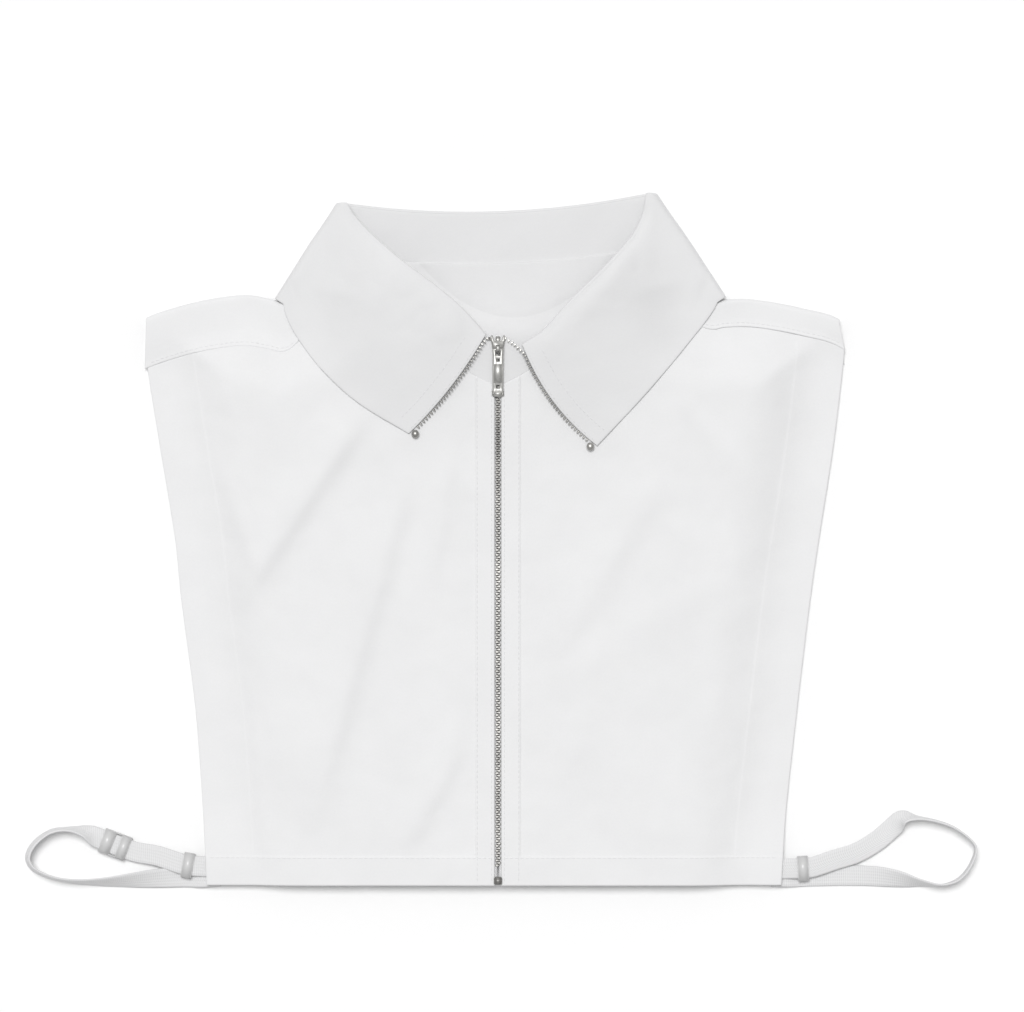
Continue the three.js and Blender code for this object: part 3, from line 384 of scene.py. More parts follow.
def front_z(x, y):
    high = ease(SHOULDER_Y - 42, SHOULDER_Y - 7, y)
    by_collar = 1 - ease(COLLAR_OUTER_HALF * 0.9, COLLAR_OUTER_HALF * 1.16, np.abs(x))
    corner = 1 - ease(0, LOFT_RUN, np.hypot(np.abs(x) - SHOULDER_HALF * 0.82, y - HEM_Y))
    low = CLOTH / 2 + EDGE_AIR + CORNER_LIFT * corner
    shoulder = CLOTH / 2 + 2 * SHOULDER_FOLD_RADIUS
    collar = STAND_BACK_Z + 2 * SIDE_FOLD_RADIUS
    edge = low + (shoulder + (collar - shoulder) * by_collar - low) * high
    rise = (y - HEM_Y) / (NECK_FRONT_Y - HEM_Y)
    below = np.maximum(0, NECK_FRONT_Y + 6 - y) / (SHOULDER_HALF * 0.3)
    neck = np.exp(-below * below) * np.exp(-((x / (COLLAR_TOP_HALF * 1.03)) ** 2))
    loft = HEM_LOFT + LOFT_CLIMB * rise + NECK_LOFT * neck
    share = ease(0, LOFT_RUN, inset(x, y) - TURN_INSET)
    return edge + (loft - edge) * share + fold_height(x, y) * share


def crumple(x, y, size, height, seed):
    flat = zip(np.ravel(x), np.ravel(y))
    values = [
        noise.fractal(Vector((px / size, py / size, seed)), 0.7, 2.1, 4) for px, py in flat
    ]
    return height * np.array(values).reshape(np.shape(x))


# Front panels. One piece of cotton on each side of the zip, with a turned hem 15 mm deep, a
# facing stitched down beside the zip and a narrow facing turned in along the armhole.
def cut_lines(first, shares, last):
    """Places across a piece as pairs (constant, share of the far edge)."""
    start, end = first[-1], last[-1]
    middle = [(start * (1 - s) - end * s, s) for s in np.linspace(0, 1, shares + 2)[1:-1]]
    return [(d, 0.0) for d in first] + middle + [(-d, 1.0) for d in reversed(last)]


def cloth_mesh(name, middle, upper, lower, material, edges=(0.2, 0.75)):
    """A closed cloth wall round a grid of middle points, with rounded edges."""
    n, m = middle.shape[:2]
    across = np.gradient(middle, axis=0)
    down = np.gradient(middle, axis=1)
    normal = unit(np.cross(across, down))
    round_off = np.ones((n, m))
    for k, factor in enumerate(edges):
        for index in (k, n - 1 - k):
            round_off[index, :] = np.minimum(round_off[index, :], factor)
        for index in (k, m - 1 - k):
            round_off[:, index] = np.minimum(round_off[:, index], factor)
    top = middle + normal * (upper * round_off)[..., None]
    low = middle - normal * (lower * round_off)[..., None]
    points = np.concatenate([top.reshape(-1, 3), low.reshape(-1, 3)]) * MM
    i, j = np.meshgrid(np.arange(n - 1), np.arange(m - 1), indexing="ij")
    a = (i * m + j).ravel()
    b, c, d = a + m, a + m + 1, a + 1
    k = n * m
    faces = [np.stack([a, b, c, d], 1), np.stack([a + k, d + k, c + k, b + k], 1)]
    rim = [(r * m, (r + 1) * m) for r in range(n - 1)]
    rim += [((n - 1) * m + r, (n - 1) * m + r + 1) for r in range(m - 1)]
    rim += [(r * m + m - 1, (r - 1) * m + m - 1) for r in range(n - 1, 0, -1)]
    rim += [(r, r - 1) for r in range(m - 1, 0, -1)]
    rim = np.array(rim)
    faces.append(np.stack([rim[:, 1], rim[:, 0], rim[:, 0] + k, rim[:, 1] + k], 1))
    faces = np.concatenate(faces)
    step_u = np.linalg.norm(np.diff(middle, axis=0), axis=-1)
    step_v = np.linalg.norm(np.diff(middle, axis=1), axis=-1)
    u = np.concatenate([np.zeros((1, m)), np.cumsum(step_u, 0)]) * MM
    v = np.concatenate([np.zeros((n, 1)), np.cumsum(step_v, 1)], 1) * MM
    cut = np.stack([u.ravel(), v.ravel()], 1)
    return make_piece(name, points, faces, material, np.concatenate([cut, cut]))


def make_piece(name, points, faces, material, cut=None, smooth=True):
    mesh = bpy.data.meshes.new(name)
    mesh.from_pydata([tuple(p) for p in points], [], [tuple(int(v) for v in f) for f in faces])
    mesh.update()
    solid = bmesh.new()
    solid.from_mesh(mesh)
    bmesh.ops.recalc_face_normals(solid, faces=solid.faces)
    solid.to_mesh(mesh)
    solid.free()
    if cut is not None:
        layer = mesh.uv_layers.new(name="cut")
        corner = np.zeros(len(mesh.loops), dtype=np.int32)
        mesh.loops.foreach_get("vertex_index", corner)
        layer.data.foreach_set("uv", np.asarray(cut)[corner].ravel())
    mesh.polygons.foreach_set("use_smooth", [smooth] * len(mesh.polygons))
    mesh.materials.append(material)
    made = bpy.data.objects.new(name, mesh)
    bpy.context.collection.objects.link(made)
    return made


def cut_grid(columns, rows):
    """The constants and shares of both cuts, set out as the columns and rows of a grid."""
    return (*np.array(columns).T[:, :, None], *np.array(rows).T[:, None, :])


EDGE_STEPS = [0, 0.15, 0.45, 1.1, 2.4]
HEM_DEPTH = 15.0
PLACKET = 9.8
FACING = 25.0
HEM_LINES = EDGE_STEPS + [4, 7, 10, 12.5, 13.8, 14.4, 14.8, 15.2, 15.6, 16.2, 18]
PLACKET_LINES = EDGE_STEPS + [4, 6, 8, 8.9, 9.5, 9.8, 10.1, 10.5, 11.5, 13]
FACING_LINES = EDGE_STEPS + [5, 9, 14, 19, 22.5, 24.2, 24.8, 25.2, 25.8, 28]


def front_layers(side, x, y):
    """Extra cloth over the single layer, in the turned hem and under the facings."""
    past_hem = ease(HEM_DEPTH - 0.5, HEM_DEPTH + 0.5, y - HEM_Y)
    past_placket = ease(PLACKET - 0.4, PLACKET + 0.4, np.abs(x) - ZIP_EDGE)
    past_facing = ease(FACING - 0.6, FACING + 0.6, armhole_x(side, y) - np.abs(x))
    hem, placket, facing = 0.5 * (1 - past_hem), 0.42 * (1 - past_placket), 0.24 * (1 - past_facing)
    return np.maximum(np.maximum(hem, placket), facing)


def pucker(x, y):
    """Small ripples that the stitching draws up beside the zip and along the hem."""
    beside_zip = np.exp(-(((np.abs(x) - 13) / 9) ** 2))
    by_hem = np.exp(-(((y - HEM_Y - 14) / 8) ** 2))
    run_y = np.sin(y / 3.1 + 1.7 * np.sin(y / 17.0)) * (0.5 + 0.5 * np.sin(y / 23.0 + x / 60))
    run_x = np.sin(x / 3.7 + 1.3 * np.sin(x / 21.0)) * (0.5 + 0.5 * np.sin(x / 29.0))
    return 0.11 * beside_zip * run_y + 0.09 * by_hem * run_x


def front_surface(side, x, y):
    lift = crumple(x, y, 46.0, 0.55, 3.0 + side) + crumple(x, y, 17.0, 0.16, 9.0 + side)
    calm = ease(0, 12, inset(x, y)) * ease(2, 14, np.abs(x))
    return front_z(x, y) + lift * calm + pucker(x, y)


for side in (-1, 1):
    columns = cut_lines(PLACKET_LINES, 62, FACING_LINES)
    rows = cut_lines(HEM_LINES, 104, EDGE_STEPS)
    a, b, c, d = cut_grid(columns, rows)
    x = a + ZIP_EDGE * (1 - b) + b * SHOULDER_HALF + 0 * c
    for _ in range(6):
        seam = shoulder_seam_y(side, x, FRONT_SEAM_DROP[side]) - SEAM_GAP
        top = np.minimum(neck_seam_y(side, x) - 0.05, seam)
        y = c + HEM_Y * (1 - d) + d * top
        x = a + ZIP_EDGE * (1 - b) + b * armhole_x(side, y)
    middle = np.stack([side * x, y, front_surface(side, side * x, y)], -1)
    extra = front_layers(side, x, y)
    panel = cloth_mesh(
        f"cotton_front_{hand(side)}",
        middle if side > 0 else middle[::-1],
        CLOTH_HALF + (extra if side > 0 else extra[::-1]),
        CLOTH_HALF,
        bib_cotton,
    )
    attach(panel, "bib")
    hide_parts(f"front_panel_{hand(side)}")

# Back panel. One flat piece of the same cotton under the front, lying on the table, with a crescent
# facing sewn inside the neck; the cloth above the facing edge is painted darker, for the facing and
# for the shade inside the neck.
NECK_FACING_Y = 156.0
FACING_CURVE = 0.0118
FACING_MIDDLE = 8.0
FACING_STEP = 0.4
# Painted shade: this tone darkens the cloth above the facing edge, standing for the shade inside
# the neck as well as the facing.
FACING_SHADE_TONE = (0.95, 0.95, 0.95, 1)
BACK_SEAM_SAG = 9.0
NECK_SWELL = 7.0


def back_neck_y(x):
    left, right = CREASE[-1]["neck"], CREASE[1]["neck"]
    g = np.clip((x - left[0]) / (right[0] - left[0]), 0, 1)
    return left[1] + (right[1] - left[1]) * g - BACK_SEAM_SAG * 4 * g * (1 - g)


columns = cut_lines(EDGE_STEPS, 110, EDGE_STEPS)
rows = cut_lines(HEM_LINES, 96, EDGE_STEPS)
a, b, c, d = cut_grid(columns, rows)
y = c + HEM_Y * (1 - d) + d * SHOULDER_Y
for _ in range(6):
    x = a - armhole_x(-1, y) * (1 - b) + b * armhole_x(1, y)
    seam = np.where(
        x < 0,
        shoulder_seam_y(-1, x, BACK_SEAM_DROP),
        shoulder_seam_y(1, x, BACK_SEAM_DROP),
    )
    inner = CREASE[1]["neck"][0]
    neck = 1 - ease(inner * 0.7, inner * 0.9, np.abs(x))
    top = seam - 0.6 + (back_neck_y(x) + 0.3 - seam + 0.6) * neck
    y = c + HEM_Y * (1 - d) + d * top
facing_edge = NECK_FACING_Y + FACING_CURVE * (x - FACING_MIDDLE) ** 2
facing = 0.6 * ease(-0.45, 0.45, y - facing_edge) * (1 - ease(55, 75, np.abs(x)))
hem = 0.3 * (1 - ease(HEM_DEPTH - 0.5, HEM_DEPTH + 0.5, y - HEM_Y))
swell = NECK_SWELL * np.exp(-((x / 55) ** 2) - ((y - NECK_FRONT_Y) / 20) ** 2)
middle = np.stack([x, y, back_z(x, y) + swell], -1)
back_cotton_neck_shade = cotton("back_cotton_neck_shade", (0.80, 0.80, 0.805))


def maths(material, operation, first, second):
    return add_node(material, "Math", {0: first, 1: second}, operation=operation).outputs["Value"]


# Painted shade: above the facing's curved edge the base colour is multiplied darker, for the facing
# and for the shade that falls inside the neck opening.
place = add_node(back_cotton_neck_shade, "TexCoord").outputs["Object"]
flat = add_node(back_cotton_neck_shade, "SeparateXYZ", {"Vector": place}).outputs
across = maths(back_cotton_neck_shade, "SUBTRACT", flat["X"], FACING_MIDDLE * MM)
squared = maths(back_cotton_neck_shade, "MULTIPLY", across, across)
curve = maths(back_cotton_neck_shade, "MULTIPLY", squared, FACING_CURVE / MM)
above = maths(back_cotton_neck_shade, "SUBTRACT", flat["Y"], curve)
above = maths(back_cotton_neck_shade, "SUBTRACT", above, NECK_FACING_Y * MM)
step = FACING_STEP * MM
facing_shade_mask = add_node(back_cotton_neck_shade, "MapRange", {"Value": above, "From Min": -step, "From Max": step})
shader = back_cotton_neck_shade.node_tree.nodes["Principled BSDF"]
sockets = {
    "Factor": facing_shade_mask.outputs["Result"],
    "A": shader.inputs["Base Color"].links[0].from_socket,
    "B": FACING_SHADE_TONE,
}
painted_facing_shade = add_node(back_cotton_neck_shade, "Mix", sockets, data_type="RGBA", blend_type="MULTIPLY")
connect(back_cotton_neck_shade, shader, {"Base Color": painted_facing_shade.outputs["Result"]})
upper = CLOTH_HALF + facing + hem
back = cloth_mesh("cotton_back", middle, upper, CLOTH_HALF, back_cotton_neck_shade)
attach(back, "bib")
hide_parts("back_panel")

# Shoulder pieces. The cotton turns over the top of each shoulder and is joined to the front in
# a seam that sits forward of the fold, with its edge pressed down.
SEAM_RIDGE = (0.55, 0.55, 0.5, 0.4, 0.2)

for side in (-1, 1):
    inner = abs(CREASE[side]["neck"][0])
    u = np.concatenate([[0, 0.004, 0.012], np.linspace(0.03, 0.97, 44), [0.988, 0.996, 1]])
    edge_x = float(armhole_x(side, SHOULDER_Y - BODY_LENGTH * 0.08))
    seam_x = inner * 0.97 + (edge_x - inner * 0.97) * u
    fold_x = inner * 1.06 + (SHOULDER_HALF * (1.004 if side < 0 else 0.975) - inner * 1.06) * u
    fold_y = shoulder_y(side, fold_x) - CLOTH / 2
    low = shoulder_seam_y(side, seam_x, FRONT_SEAM_DROP[side]) - 0.6
    back_low = shoulder_seam_y(side, seam_x, BACK_SEAM_DROP)
    upper_z = front_z(side * fold_x, fold_y - SHOULDER_FOLD_RADIUS)
    lower_z = back_z(fold_x, fold_y - SHOULDER_FOLD_RADIUS)
    radius = (upper_z - lower_z) / 2
    centre = fold_y - radius
    lines = []
    for t in np.concatenate([[0, 0.01, 0.03, 0.07], np.linspace(0.12, 1, 14)]):
        x, y = seam_x + (fold_x - seam_x) * t, low + (centre - low) * t
        z = front_z(side * x, y) * (1 - t) + upper_z * t
        z = z + crumple(x, y, 22.0, 0.3, 20.0 + side) * ease(0, 0.3, t) * (1 - t)
        lines.append(np.stack([side * x, y, z], -1))
    for turn in np.linspace(0, np.pi, 11)[1:-1]:
        y = centre + radius * np.sin(turn)
        z = (upper_z + lower_z) / 2 + radius * np.cos(turn)
        lines.append(np.stack([side * fold_x, y, z], -1))
    for t in np.concatenate([np.linspace(0, 0.9, 10), [0.97, 0.99, 1]]):
        x, y = fold_x + (seam_x - fold_x) * t, centre + (back_low - centre) * t
        lines.append(np.stack([side * x, y, lower_z * (1 - t) + back_z(x, y) * t], -1))
    middle = np.stack(lines, 1)
    if side < 0:
        middle = middle[::-1]
    middle[:, :5, 2] += SEAM_RIDGE
    extra = np.zeros(middle.shape[:2])
    extra[:, :7] = 0.15
    name = f"cotton_shoulder_{hand(side)}"
    piece = cloth_mesh(name, middle, CLOTH_HALF + extra, CLOTH_HALF, bib_cotton)
    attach(piece, "bib")
    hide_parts(f"shoulder_{hand(side)}")

# Collar stand and leaf. Two plies of cotton with a firm interlining: the stand rises from the
# neck seam, and the leaf rolls over its top edge and falls to the collar points.
collar_cotton = cotton("collar_cotton", (0.745, 0.745, 0.75), nap=0.3)
BACK_DIP = 6.8
BACK_LEAF_SAG = 7.0
LEAF_EDGE_HEIGHT = 1.35
LEAF_HALF = 0.5
EDGE_BOW = {-1: 2.2, 1: 4.4}
BOW_TOWARDS = (0.79, 0.62)
LEAF_CREST = {-1: 0.16, 1: 0.1}
LEAF_BLOOM = 2.6
FOOT_PRESS = 0.62

FRONT_WAYS = [0, 0.002, 0.007, *np.linspace(0.016, 0.9, 54), 1]
stations = [("front", -1, w) for w in FRONT_WAYS]
stations += [("turn", -1, w) for w in np.linspace(0, 1, 15)[1:-1]]
stations += [("back", 0, w) for w in np.linspace(0, 1, 61)]
stations += [("turn", 1, w) for w in np.linspace(1, 0, 15)[1:-1]]
stations += [("front", 1, w) for w in reversed(FRONT_WAYS)]


def station_plan(kind, side, way):
    if kind == "front":
        blend = float(ease(0.8, 1, way))
        outer = leaf_edge_point(side, way * 0.98)
        roll = roll_point(side, way * 0.97)
        inner = outer + (CREASE[side]["axis_foot"] - outer) * blend
        roll = roll + unit(inner - roll) * ROLL_INSET
        roll = roll + (CREASE[side]["axis_top"] - roll) * blend
        seam_x = side * (ZIP_EDGE + (abs(CREASE[side]["neck"][0]) - ZIP_EDGE) * way)
        return roll, inner, np.array([seam_x, float(neck_seam_y(side, seam_x))])
    if kind == "turn":
        return CREASE[side]["axis_top"], CREASE[side]["axis_foot"], CREASE[side]["neck"]
    dip = 4 * way * (1 - way)
    places = []
    sags = {"axis_top": BACK_DIP, "axis_foot": BACK_LEAF_SAG, "neck": BACK_SEAM_SAG}
    for name, sag in sags.items():
        place = CREASE[-1][name] + (CREASE[1][name] - CREASE[-1][name]) * way
        places.append(place - np.array([0, sag * dip]))
    return places


def collar_points(kind, side, way, plan, height):
    if kind == "front":
        layer = front_z(plan[:, 0], plan[:, 1])
        short = np.maximum(0, STAND_BACK_Z + 2 * SIDE_FOLD_RADIUS - layer)
        return np.column_stack([plan, layer + short * float(ease(0.75, 1, way)) + height])
    if kind == "back":
        return np.column_stack([plan, STAND_BACK_Z - height])
    own = CREASE[side]
    fallen = (plan - own["top"]) @ own["down"] / np.linalg.norm(own["foot"] - own["top"])
    share = ease(0, 0.7, fallen)[:, None]
    out = unit(own["level"] * (1 - share) + own["out"] * share)
    radius = SIDE_FOLD_RADIUS + height
    reach = radius * math.sin(math.pi * way)
    z = STAND_BACK_Z + SIDE_FOLD_RADIUS + radius * math.cos(math.pi * way)
    return np.column_stack([plan + out * reach[:, None], z])


ROLL_TURNS = np.linspace(0, np.pi, 13)
LEAF_WAYS = np.concatenate([np.linspace(0.02, 0.97, 34), [0.985, 0.994, 1]])


def leaf_line(kind, side, way):
    roll, outer, _ = station_plan(kind, side, way)
    towards = unit(roll - outer)
    bend = roll + towards * (ROLL_RADIUS * np.sin(ROLL_TURNS))[:, None]
    fall = roll + (outer - roll) * LEAF_WAYS[:, None]
    if kind == "front":
        bow = EDGE_BOW[side] * 4 * LEAF_WAYS * (1 - LEAF_WAYS) * (1 - float(ease(0, 0.5, way)))
        fall = fall - np.column_stack([side * BOW_TOWARDS[0] * bow, BOW_TOWARDS[1] * bow])
    plan = np.concatenate([bend, fall])
    settle = ROLL_GAP - (ROLL_GAP - LEAF_EDGE_HEIGHT) * ease(0.35, 0.95, LEAF_WAYS)
    if kind != "front":
        settle = np.full(len(fall), ROLL_GAP)
    elif way > 0.75:
        settle = settle + (ROLL_GAP - settle) * float(ease(0.75, 1, way))
    height = np.concatenate([ROLL_RADIUS * (1 - np.cos(ROLL_TURNS)), settle])
    line = collar_points(kind, side, way, plan, height)
    if kind != "back":
        closing = float(ease(0.75, 1, way)) if kind == "front" else 1.0
        share = np.concatenate([np.zeros(len(bend)), LEAF_WAYS])
        raised = np.maximum(0, line[:, 2] - STAND_BACK_Z - SIDE_FOLD_RADIUS)
        pressed = line[:, 2] - FOOT_PRESS * closing * ease(0.7, 1, share) * raised
        resting = front_z(line[:, 0], line[:, 1]) + LEAF_EDGE_HEIGHT
        line[:, 2] = np.maximum(pressed, np.minimum(line[:, 2], resting))
    if kind == "front":
        crest = LEAF_CREST[side]
        spring = LEAF_WAYS / crest * np.exp(1 - LEAF_WAYS / crest)
        bloom = np.concatenate([np.zeros(len(bend)), spring * (1 - ease(0.7, 1, LEAF_WAYS))])
        calm = (0.25 + 0.75 * float(ease(0, 0.3, way))) * (1 - float(ease(0.8, 1, way)))
        uneven = crumple(plan[:, 0], plan[:, 1], 34.0, 1.1, 31.0)
        line[:, 2] += bloom * calm * (LEAF_BLOOM + uneven)
    return line


leaf_middle = np.stack([leaf_line(*s) for s in stations])
leaf = cloth_mesh(
    "cotton_collar_leaf",
    leaf_middle,
    LEAF_HALF,
    LEAF_HALF,
    collar_cotton,
    edges=(0.35, 0.85),
)
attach(leaf, "bib")
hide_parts("collar_leaf")

STAND_LIP_Y = NECK_FRONT_Y + 1.5
stand_stations = [("lip", -1, w) for w in np.linspace(1, 0, 9)[:-1]] + stations
stand_stations += [("lip", 1, w) for w in np.linspace(0, 1, 9)[1:]]
stand_ways = np.concatenate([[0, 0.01, 0.03], np.linspace(0.06, 0.94, 16), [0.97, 0.99, 1]])
stand_lines = []
for kind, side, way in stand_stations:
    lip = kind == "lip"
    roll, _, seam = station_plan("front" if lip else kind, side, 0 if lip else way)
    if lip:
        roll = roll + (np.array([side * ZIP_EDGE, STAND_LIP_Y]) - roll) * way
        roll = roll - np.array([0, 1.6 * math.sin(math.pi * way)])
        kind, way = "front", 0
    reach = unit(seam - roll)
    start, end = roll - reach * 0.4, seam + reach * 0.35
    plan = start + (end - start) * stand_ways[:, None]
    stand_lines.append(collar_points(kind, side, way, plan, 0 * stand_ways))
stand = cloth_mesh(
    "cotton_collar_stand",
    np.stack(stand_lines),
    CLOTH_HALF,
    CLOTH_HALF,
    collar_cotton,
)
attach(stand, "bib")
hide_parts("collar_stand")

# Zip tape. A woven polyester tape with a fine herringbone, sewn under each front edge; only
# its bare edge and the row of teeth on it show between the two fronts.
CHAIN_HALF = 1.4
TOOTH_PITCH = 2.5
TAPE_WIDTH = 12.0
TAPE_THICK = 1.0
RUN_GAP = 0.3
SLIDER_LENGTH = 9.0
BOTTOM_STOP = 5.0
SLIDER_LOW_Y = NECK_FRONT_Y - 6.6
CHAIN_TOP_Y = SLIDER_LOW_Y + SLIDER_LENGTH * 0.35

tape_weave, shader = start_material("tape_weave")
cut = add_node(tape_weave, "UVMap", uv_map="cut").outputs["UV"]
chevron = add_node(tape_weave, "TexWave", {"Vector": cut, "Scale": 520}, bands_direction="DIAGONAL")
chevron = chevron.outputs["Fac"]
connect(tape_weave, shader, {
    "Base Color": tone_ramp(tape_weave, chevron, (0.66, 0.66, 0.67), (0.78, 0.78, 0.785)),
    "Normal": relief(tape_weave, chevron, 0.5, 0.0001),
    "Roughness": 0.8,
})

for side in (-1, 1):
    depth = CLOTH / 2 + RUN_GAP + TAPE_THICK / 2
    u = np.linspace(0, 1, 13)[:, None]
    y = (HEM_Y + 2 + (SLIDER_LOW_Y - RUN_GAP - HEM_Y - 2) * np.linspace(0, 1, 180))[None, :]
    inner = 0.45 + 1.2 * ease(SLIDER_LOW_Y - 8, SLIDER_LOW_Y, y)
    x = side * (inner + (ZIP_EDGE + TAPE_WIDTH - inner) * u)
    y = y + 0 * x
    middle = np.stack([x, y, front_z(x, y) - depth], -1)
    if side < 0:
        middle = middle[::-1]
    half = TAPE_THICK / 2
    tape = cloth_mesh(f"zip_tape_{hand(side)}_woven", middle, half, half, tape_weave)
    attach(tape, "bib")
    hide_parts(f"zip_tape_{hand(side)}")

# Zip teeth. Each tooth is a small nickel block pressed onto the edge of the tape, with a
# rounded head that drops between two heads of the other row; the open rows run up the collar.
nickel, shader = start_material("zip_nickel")
place = add_node(nickel, "TexCoord").outputs["Object"]
tarnish = add_node(nickel, "TexNoise", {"Vector": place, "Scale": 60, "Detail": 5}).outputs["Fac"]
wear = add_node(nickel, "MapRange", {"Value": tarnish, "To Min": 0.34, "To Max": 0.52})
dull, bright = (0.37, 0.365, 0.35), (0.62, 0.61, 0.585)
connect(nickel, shader, {
    "Base Color": tone_ramp(nickel, tarnish, dull, bright, 0.35, 0.75),
    "Roughness": wear.outputs["Result"],
    "Metallic": 1.0,
})

TOOTH_WIDE = 1.15
TOOTH_TALL = 1.9
TOOTH_SINK = 0.5
OPEN_SPACING = TOOTH_PITCH * 0.8
OPEN_SIZE = 0.8
SLIDER_MOUTH = 3.9
TOOTH_RINGS = ((0.0, 0.82, 0.86), (0.35, 1.0, 1.0), (1.3, 1.0, 1.0), (1.55, 0.62, 0.84),
               (1.95, 0.66, 0.8), (2.15, 0.5, 0.6))
TOOTH_CORNERS = ((-1, -0.6), (-0.72, -1), (0.72, -1), (1, -0.6), (1, 0.6), (0.72, 1),
                 (-0.72, 1), (-1, 0.6))


def ring_faces(rings, sides):
    """Faces of a closed rod of rings of points, with both ends capped."""
    faces = []
    for ring in range(rings - 1):
        for k in range(sides):
            a, b = ring * sides + k, ring * sides + (k + 1) % sides
            faces.append((a, b, b + sides, a + sides))
    faces.append(tuple(range(sides - 1, -1, -1)))
    faces.append(tuple(range((rings - 1) * sides, rings * sides)))
    return faces


def tooth(foot, towards, along_row, up, size=1.0):
    """Points and faces of one tooth, from its foot on the tape to its head."""
    points = []
    for reach, wide, tall in TOOTH_RINGS:
        for a, b in TOOTH_CORNERS:
            shift = along_row * (a * wide * TOOTH_WIDE / 2) + up * (b * tall * TOOTH_TALL / 2)
            points.append(foot + (towards * reach + shift) * size)
    return points, ring_faces(len(TOOTH_RINGS), len(TOOTH_CORNERS))


def joined(name, parts, material, smooth=False):
    """One piece from small parts, each with its own points and faces."""
    points, faces = [], []
    for part_points, part_faces in parts:
        shift = len(points)
        points.extend(np.array(part_points) * MM)
        faces.extend(tuple(v + shift for v in face) for face in part_faces)
    return make_piece(name, points, faces, material, smooth=smooth)


UP = np.array([0.0, 0.0, 1.0])
chain_foot_y = HEM_Y + BOTTOM_STOP + 5
for side in (-1, 1):
    teeth = []
    count = int((CHAIN_TOP_Y - chain_foot_y) / TOOTH_PITCH)
    for k in range(count):
        y = chain_foot_y + (k + (0.25 if side < 0 else 0.75)) * TOOTH_PITCH
        z = float(front_z(0, y)) - TOOTH_SINK
        ahead = float(front_z(0, y + 1)) - TOOTH_SINK
        run = unit(np.array([0, 1.0, ahead - z]))
        foot = np.array([side * CHAIN_HALF, y, z])
        teeth.append(tooth(foot, np.array([-side, 0, 0.0]), run, np.cross([1.0, 0, 0], run)))
    row = joined(f"nickel_teeth_{hand(side)}", teeth, nickel)
    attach(row, "bib")
    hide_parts(f"zip_teeth_{hand(side)}")

OPEN_END = {}
for side in (-1, 1):
    line = leaf_line("front", side, 0.0)[len(ROLL_TURNS) + 1:]
    mouth_z = float(front_z(0, NECK_FRONT_Y + 2)) + 0.9
    start = np.array([side * SLIDER_MOUTH, SLIDER_LOW_Y + SLIDER_LENGTH - 0.9, mouth_z])
    bend = start * 0.5 + line[0] * 0.5 + np.array([0.0, 0.9, 0.3])
    line = np.concatenate([[start, bend], line])
    span = np.concatenate([[0], np.cumsum(np.linalg.norm(np.diff(line, axis=0), axis=1))])
    teeth = []
    for at in np.arange(0.6, span[-1] - 4.5, OPEN_SPACING):
        here = np.array([np.interp(at, span, line[:, k]) for k in range(3)])
        ahead = np.array([np.interp(at + 1, span, line[:, k]) for k in range(3)])
        run = unit(ahead - here)
        out = unit(np.array([run[1], -run[0], 0]))
        out = -out if out[0] * side > 0 else out
        teeth.append(tooth(here + out * 0.1, out, run, np.cross(out, run), OPEN_SIZE))
        OPEN_END[side] = (here, run, out)
    row = joined(f"nickel_collar_teeth_{hand(side)}", teeth, nickel)
    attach(row, "bib")
    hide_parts(f"collar_teeth_{hand(side)}")

# Zip stops. A nickel ball is clamped at the top of each open row, and a square box is clamped
# over both rows at the hem.
TOP_STOP_RADIUS = 2.1


def points_and_faces(form):
    form.verts.index_update()
    points = [tuple(v.co) for v in form.verts]
    faces = [tuple(v.index for v in f.verts) for f in form.faces]
    form.free()
    return points, faces


def nickel_bead(name, centre, radius, node):
    bead = bmesh.new()
    bmesh.ops.create_icosphere(bead, subdivisions=4, radius=radius)
    for v in bead.verts:
        ridge = 1 - 0.16 * math.exp(-((v.co.z / (0.34 * radius)) ** 2) * 3)
        v.co.x *= ridge
        v.co.y *= ridge * 1.06
        v.co.z *= 0.92
        v.co += Vector(centre)
    made = joined(name, [points_and_faces(bead)], nickel, smooth=True)
    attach(made, "bib")
    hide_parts(node)


for side in (-1, 1):
    here, run, out = OPEN_END[side]
    centre = here + run * (TOP_STOP_RADIUS + 1.6) + out * (TOP_STOP_RADIUS + RUN_GAP)
    centre[2] += TOP_STOP_RADIUS + CLOTH / 2 + RUN_GAP - ROLL_GAP
    nickel_bead(f"nickel_ball_{hand(side)}", centre, TOP_STOP_RADIUS, f"zip_top_stop_{hand(side)}")


def rounded_bar(half_x, y0, y1, z0, z1, bevel, segments=3):
    """Points and faces of a small pressed metal bar with rounded edges."""
    bar = bmesh.new()
    bmesh.ops.create_cube(bar, size=1)
    for v in bar.verts:
        v.co.x *= 2 * half_x
        v.co.y = y0 + (v.co.y + 0.5) * (y1 - y0)
        v.co.z = z0 + (v.co.z + 0.5) * (z1 - z0)
    bmesh.ops.bevel(bar, geom=bar.edges[:], offset=bevel, segments=segments, affect="EDGES")
    return points_and_faces(bar)


stop_top = chain_foot_y - 5 - RUN_GAP
stop_z = float(front_z(0, stop_top - BOTTOM_STOP / 2)) + CLOTH / 2 + RUN_GAP
parts = [
    rounded_bar(CHAIN_HALF * 1.5, stop_top - 4, stop_top, stop_z, stop_z + 1.5, 0.45),
    rounded_bar(CHAIN_HALF, stop_top - 4, stop_top, stop_z - 1.9, stop_z + 0.3, 0.2),
    rounded_bar(CHAIN_HALF * 1.2, stop_top - 2.7, stop_top - 1.3, stop_z + 1.3, stop_z + 1.75, 0.2),
]
box_stop = joined("nickel_box_stop", parts, nickel, smooth=True)
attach(box_stop, "bib")
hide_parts("zip_bottom_stop")

